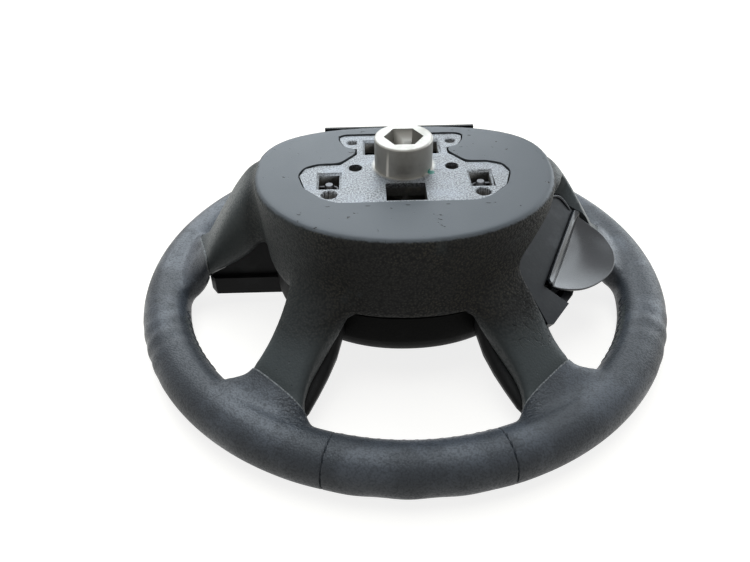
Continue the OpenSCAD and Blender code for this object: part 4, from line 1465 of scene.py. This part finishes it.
@dataclass
class AirbagCover:
    """Smooth padded cover of the airbag module."""

    finishes: Finishes
    top: float = 58.0
    inset: float = 2.0
    wall: float = 3.0
    side_h: float = 18.0
    edge_r: float = 20.0
    dome: tuple[tuple[float, float], ...] = ((32, 6), (44, 9.5), (54, 11))

    def rings(self, d: float) -> list[np.ndarray]:
        """Returns the rings from the open edge to the middle of the front, moved outwards by d."""
        turn = self.top - self.side_h
        r = self.edge_r + d
        rows = [(self.top, d)] + [(turn - r * math.sin(a), d - r * (1 - math.cos(a)))
                                  for a in np.linspace(0, math.pi / 2, 9)]
        rows += [(turn - self.edge_r - d - rise, -back + self.inset) for back, rise in self.dome]
        rows = smooth_rows([list(row) for row in rows], 4)
        return [HubForm.level(z, -self.inset + off, HubForm.lean) for z, off in rows]

    def draw(self) -> None:
        """Builds the cover."""
        piece = loft(self.rings(-self.wall)[::-1] + self.rings(0.0)).build("airbag_pad")
        piece.data.materials.append(self.finishes.cover)
        piece.data.set_sharp_from_angle(angle=math.radians(50))
        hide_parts("airbag_cover")
        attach(piece, "airbag_module")


@dataclass(frozen=True)
class Dressing:
    """Finish and edge of a solid that is shown as it is."""

    finish: str
    edge: float = 0.0
    steps: int = 2
    weld_m: float = 0.00001
    soft_from: float = 40.0
    crisp_from: float = 34.0

    def put_on(self, node: bpy.types.Object, finishes: Finishes) -> None:
        """Gives the node its finish and its soft edges.

        Args:
            node: The solid.
            finishes: All materials.
        """
        mesh = node.data
        mesh.materials.clear()
        mesh.materials.append(getattr(finishes, self.finish))
        if "custom_normal" in mesh.attributes:
            mesh.attributes.remove(mesh.attributes["custom_normal"])
        mesh.shade_smooth()
        mesh.set_sharp_from_angle(angle=math.pi)
        node.modifiers.new("weld", "WELD").merge_threshold = self.weld_m
        if self.edge:
            soft = node.modifiers.new("soft_edge", "BEVEL")
            soft.width = self.edge * MM
            soft.segments = self.steps
            soft.limit_method = "ANGLE"
            soft.angle_limit = math.radians(self.soft_from)
            node.modifiers.new("flat_faces", "WEIGHTED_NORMAL").weight = 90
        else:
            node.modifiers.new("crisp", "EDGE_SPLIT").split_angle = math.radians(self.crisp_from)


DRESSING = {
    "hub_casting": Dressing("casting", 0.5),
    "rim_core": Dressing("core"),
    "rim_foam": Dressing("inner_foam"),
    "arm_": Dressing("core", 0.5),
    "cable_guard": Dressing("trim", 0.5),
    "spoke_cover": Dressing("trim", 0.6),
    "switch_bezel": Dressing("trim", 0.5),
    "lower_trim": Dressing("trim", 0.5),
    "rocker": Dressing("key", 1.0, 3),
    "upper_key": Dressing("key", 1.0, 3),
    "lower_key": Dressing("key", 1.0, 3),
    "retaining_wire": Dressing("spring"),
    "cover_frame": Dressing("core", 0.3),
    "airbag_pack": Dressing("bag", 3.0, 3),
    "module_carrier": Dressing("carrier", 0.3),
    "gas_generator": Dressing("steel", 0.6),
    "guide_pin": Dressing("spring", 0.3),
    "hook": Dressing("spring", 0.3),
    "horn_spring": Dressing("spring"),
    "paddle_housing": Dressing("housing", 1.6, 3),
    "paddle_pin": Dressing("steel", 0.2),
    "paddle_spring": Dressing("spring"),
}


class Stage:
    """Floor, lights, camera and surroundings."""

    camera_at = (-0.02634, -0.44341, 0.36404)
    camera_axes = ((0.999637, 0.025602, -0.008377), (-0.022389, 0.616745, -0.786845),
                   (-0.014979, 0.786747, 0.617094))
    lens_mm = 33.936
    sensor_mm = 36.0
    floor_size = 12.0
    floor_z = -0.0002
    floor_tone = (0.40, 0.37, 0.32, 1.0)
    floor_glow = 0.82
    sky = 0.17
    lamp_tone = (0.86, 0.94, 1.0)

    def build(self) -> None:
        """Builds all of it."""
        self.floor()
        self.world()
        self.camera()
        self.softbox("overhead", (-0.1, 0.2, 1.5), (0, 0, 0), 1.3, 15.0)
        self.softbox("window", (-0.3, 1.5, 1.25), (0, 0, 0.05), 1.7, 34.0)
        self.softbox("side", (1.3, 0.95, 0.6), (0.1, 0, 0.06), 1.25, 15.0)

    def floor(self) -> None:
        """Lays the floor, white where it is looked at and shaded where the wheel stands."""
        bpy.ops.mesh.primitive_plane_add(size=self.floor_size, location=(0, 0, self.floor_z))
        plane = bpy.context.object
        plane.name = "floor"
        material, s, body = start_material("white_floor", 0.0)
        s.feed(body, {"Base Color": self.floor_tone, "Roughness": 0.9, "Emission Color": (1.0, 1.0, 1.0, 1.0),
                      "Emission Strength": s.times(s.looked_at(), self.floor_glow)})
        plane.data.materials.append(material)

    def world(self) -> None:
        """Lights the surroundings evenly and keeps them white to the camera."""
        world = bpy.data.worlds.new("surroundings")
        bpy.context.scene.world = world
        world.use_nodes = True
        world.node_tree.nodes.clear()
        s = Shading(world.node_tree)
        strength = s.share(s.looked_at(), self.sky, 1.0)
        back = s.node("Background", {"Color": (1.0, 1.0, 1.0, 1.0), "Strength": strength})
        s.node("OutputWorld", {"Surface": back.outputs[0]})

    def camera(self) -> None:
        """Sets the camera that matches the photograph's view."""
        data = bpy.data.cameras.new("camera")
        data.lens = self.lens_mm
        data.sensor_width = self.sensor_mm
        data.clip_start = 0.01
        camera = bpy.data.objects.new("camera", data)
        bpy.context.scene.collection.objects.link(camera)
        matrix = Matrix(self.camera_axes).to_4x4()
        matrix.translation = self.camera_at
        camera.matrix_world = matrix
        bpy.context.scene.camera = camera

    def softbox(self, name: str, at: Triple, aim: Triple, size: float, power_w: float) -> None:
        """Hangs a square soft light.

        Args:
            name: Name of the light.
            at: Where it hangs.
            aim: What it points at.
            size: Length of its side.
            power_w: Its power.
        """
        data = bpy.data.lights.new(name, "AREA")
        data.size = size
        data.energy = power_w
        data.color = self.lamp_tone
        light = bpy.data.objects.new(name, data)
        bpy.context.scene.collection.objects.link(light)
        light.location = at
        back = Vector(at) - Vector(aim)
        light.rotation_euler = back.to_track_quat("Z", "Y").to_euler()


def dress(nodes: dict[str, bpy.types.Object], finishes: Finishes) -> None:
    """Gives every solid that is still shown its finish.

    Args:
        nodes: The solids by name.
        finishes: All materials.
    """
    for name, node in nodes.items():
        kind = next((k for k in DRESSING if name.startswith(k)), None)
        if kind is None:
            LOG.info("%s is drawn by a piece of its own", name)
            node.data.materials.clear()
            covered = "leather" in name or "root" in name
            node.data.materials.append(finishes.leather if covered else finishes.trim)
            continue
        DRESSING[kind].put_on(node, finishes)


def report() -> None:
    """Logs every mesh of the scene with the number of its faces."""
    for piece in bpy.context.scene.objects:
        if piece.type == "MESH":
            LOG.info("%s: %d faces", piece.name, len(piece.data.polygons))


def main() -> None:
    """Builds the wheel over its solids and sets the stage."""
    logging.basicConfig(level=logging.INFO, format="%(message)s")
    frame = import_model()
    finishes = Finishes()
    dress(frame["nodes"], finishes)
    Moulding(finishes).draw()
    Stitching(finishes).draw()
    Paddle(finishes).draw()
    AirbagCover(finishes).draw()
    report()
    Stage().build()
    bpy.context.scene.view_settings.view_transform = "Standard"


if __name__ == "__main__":
    main()
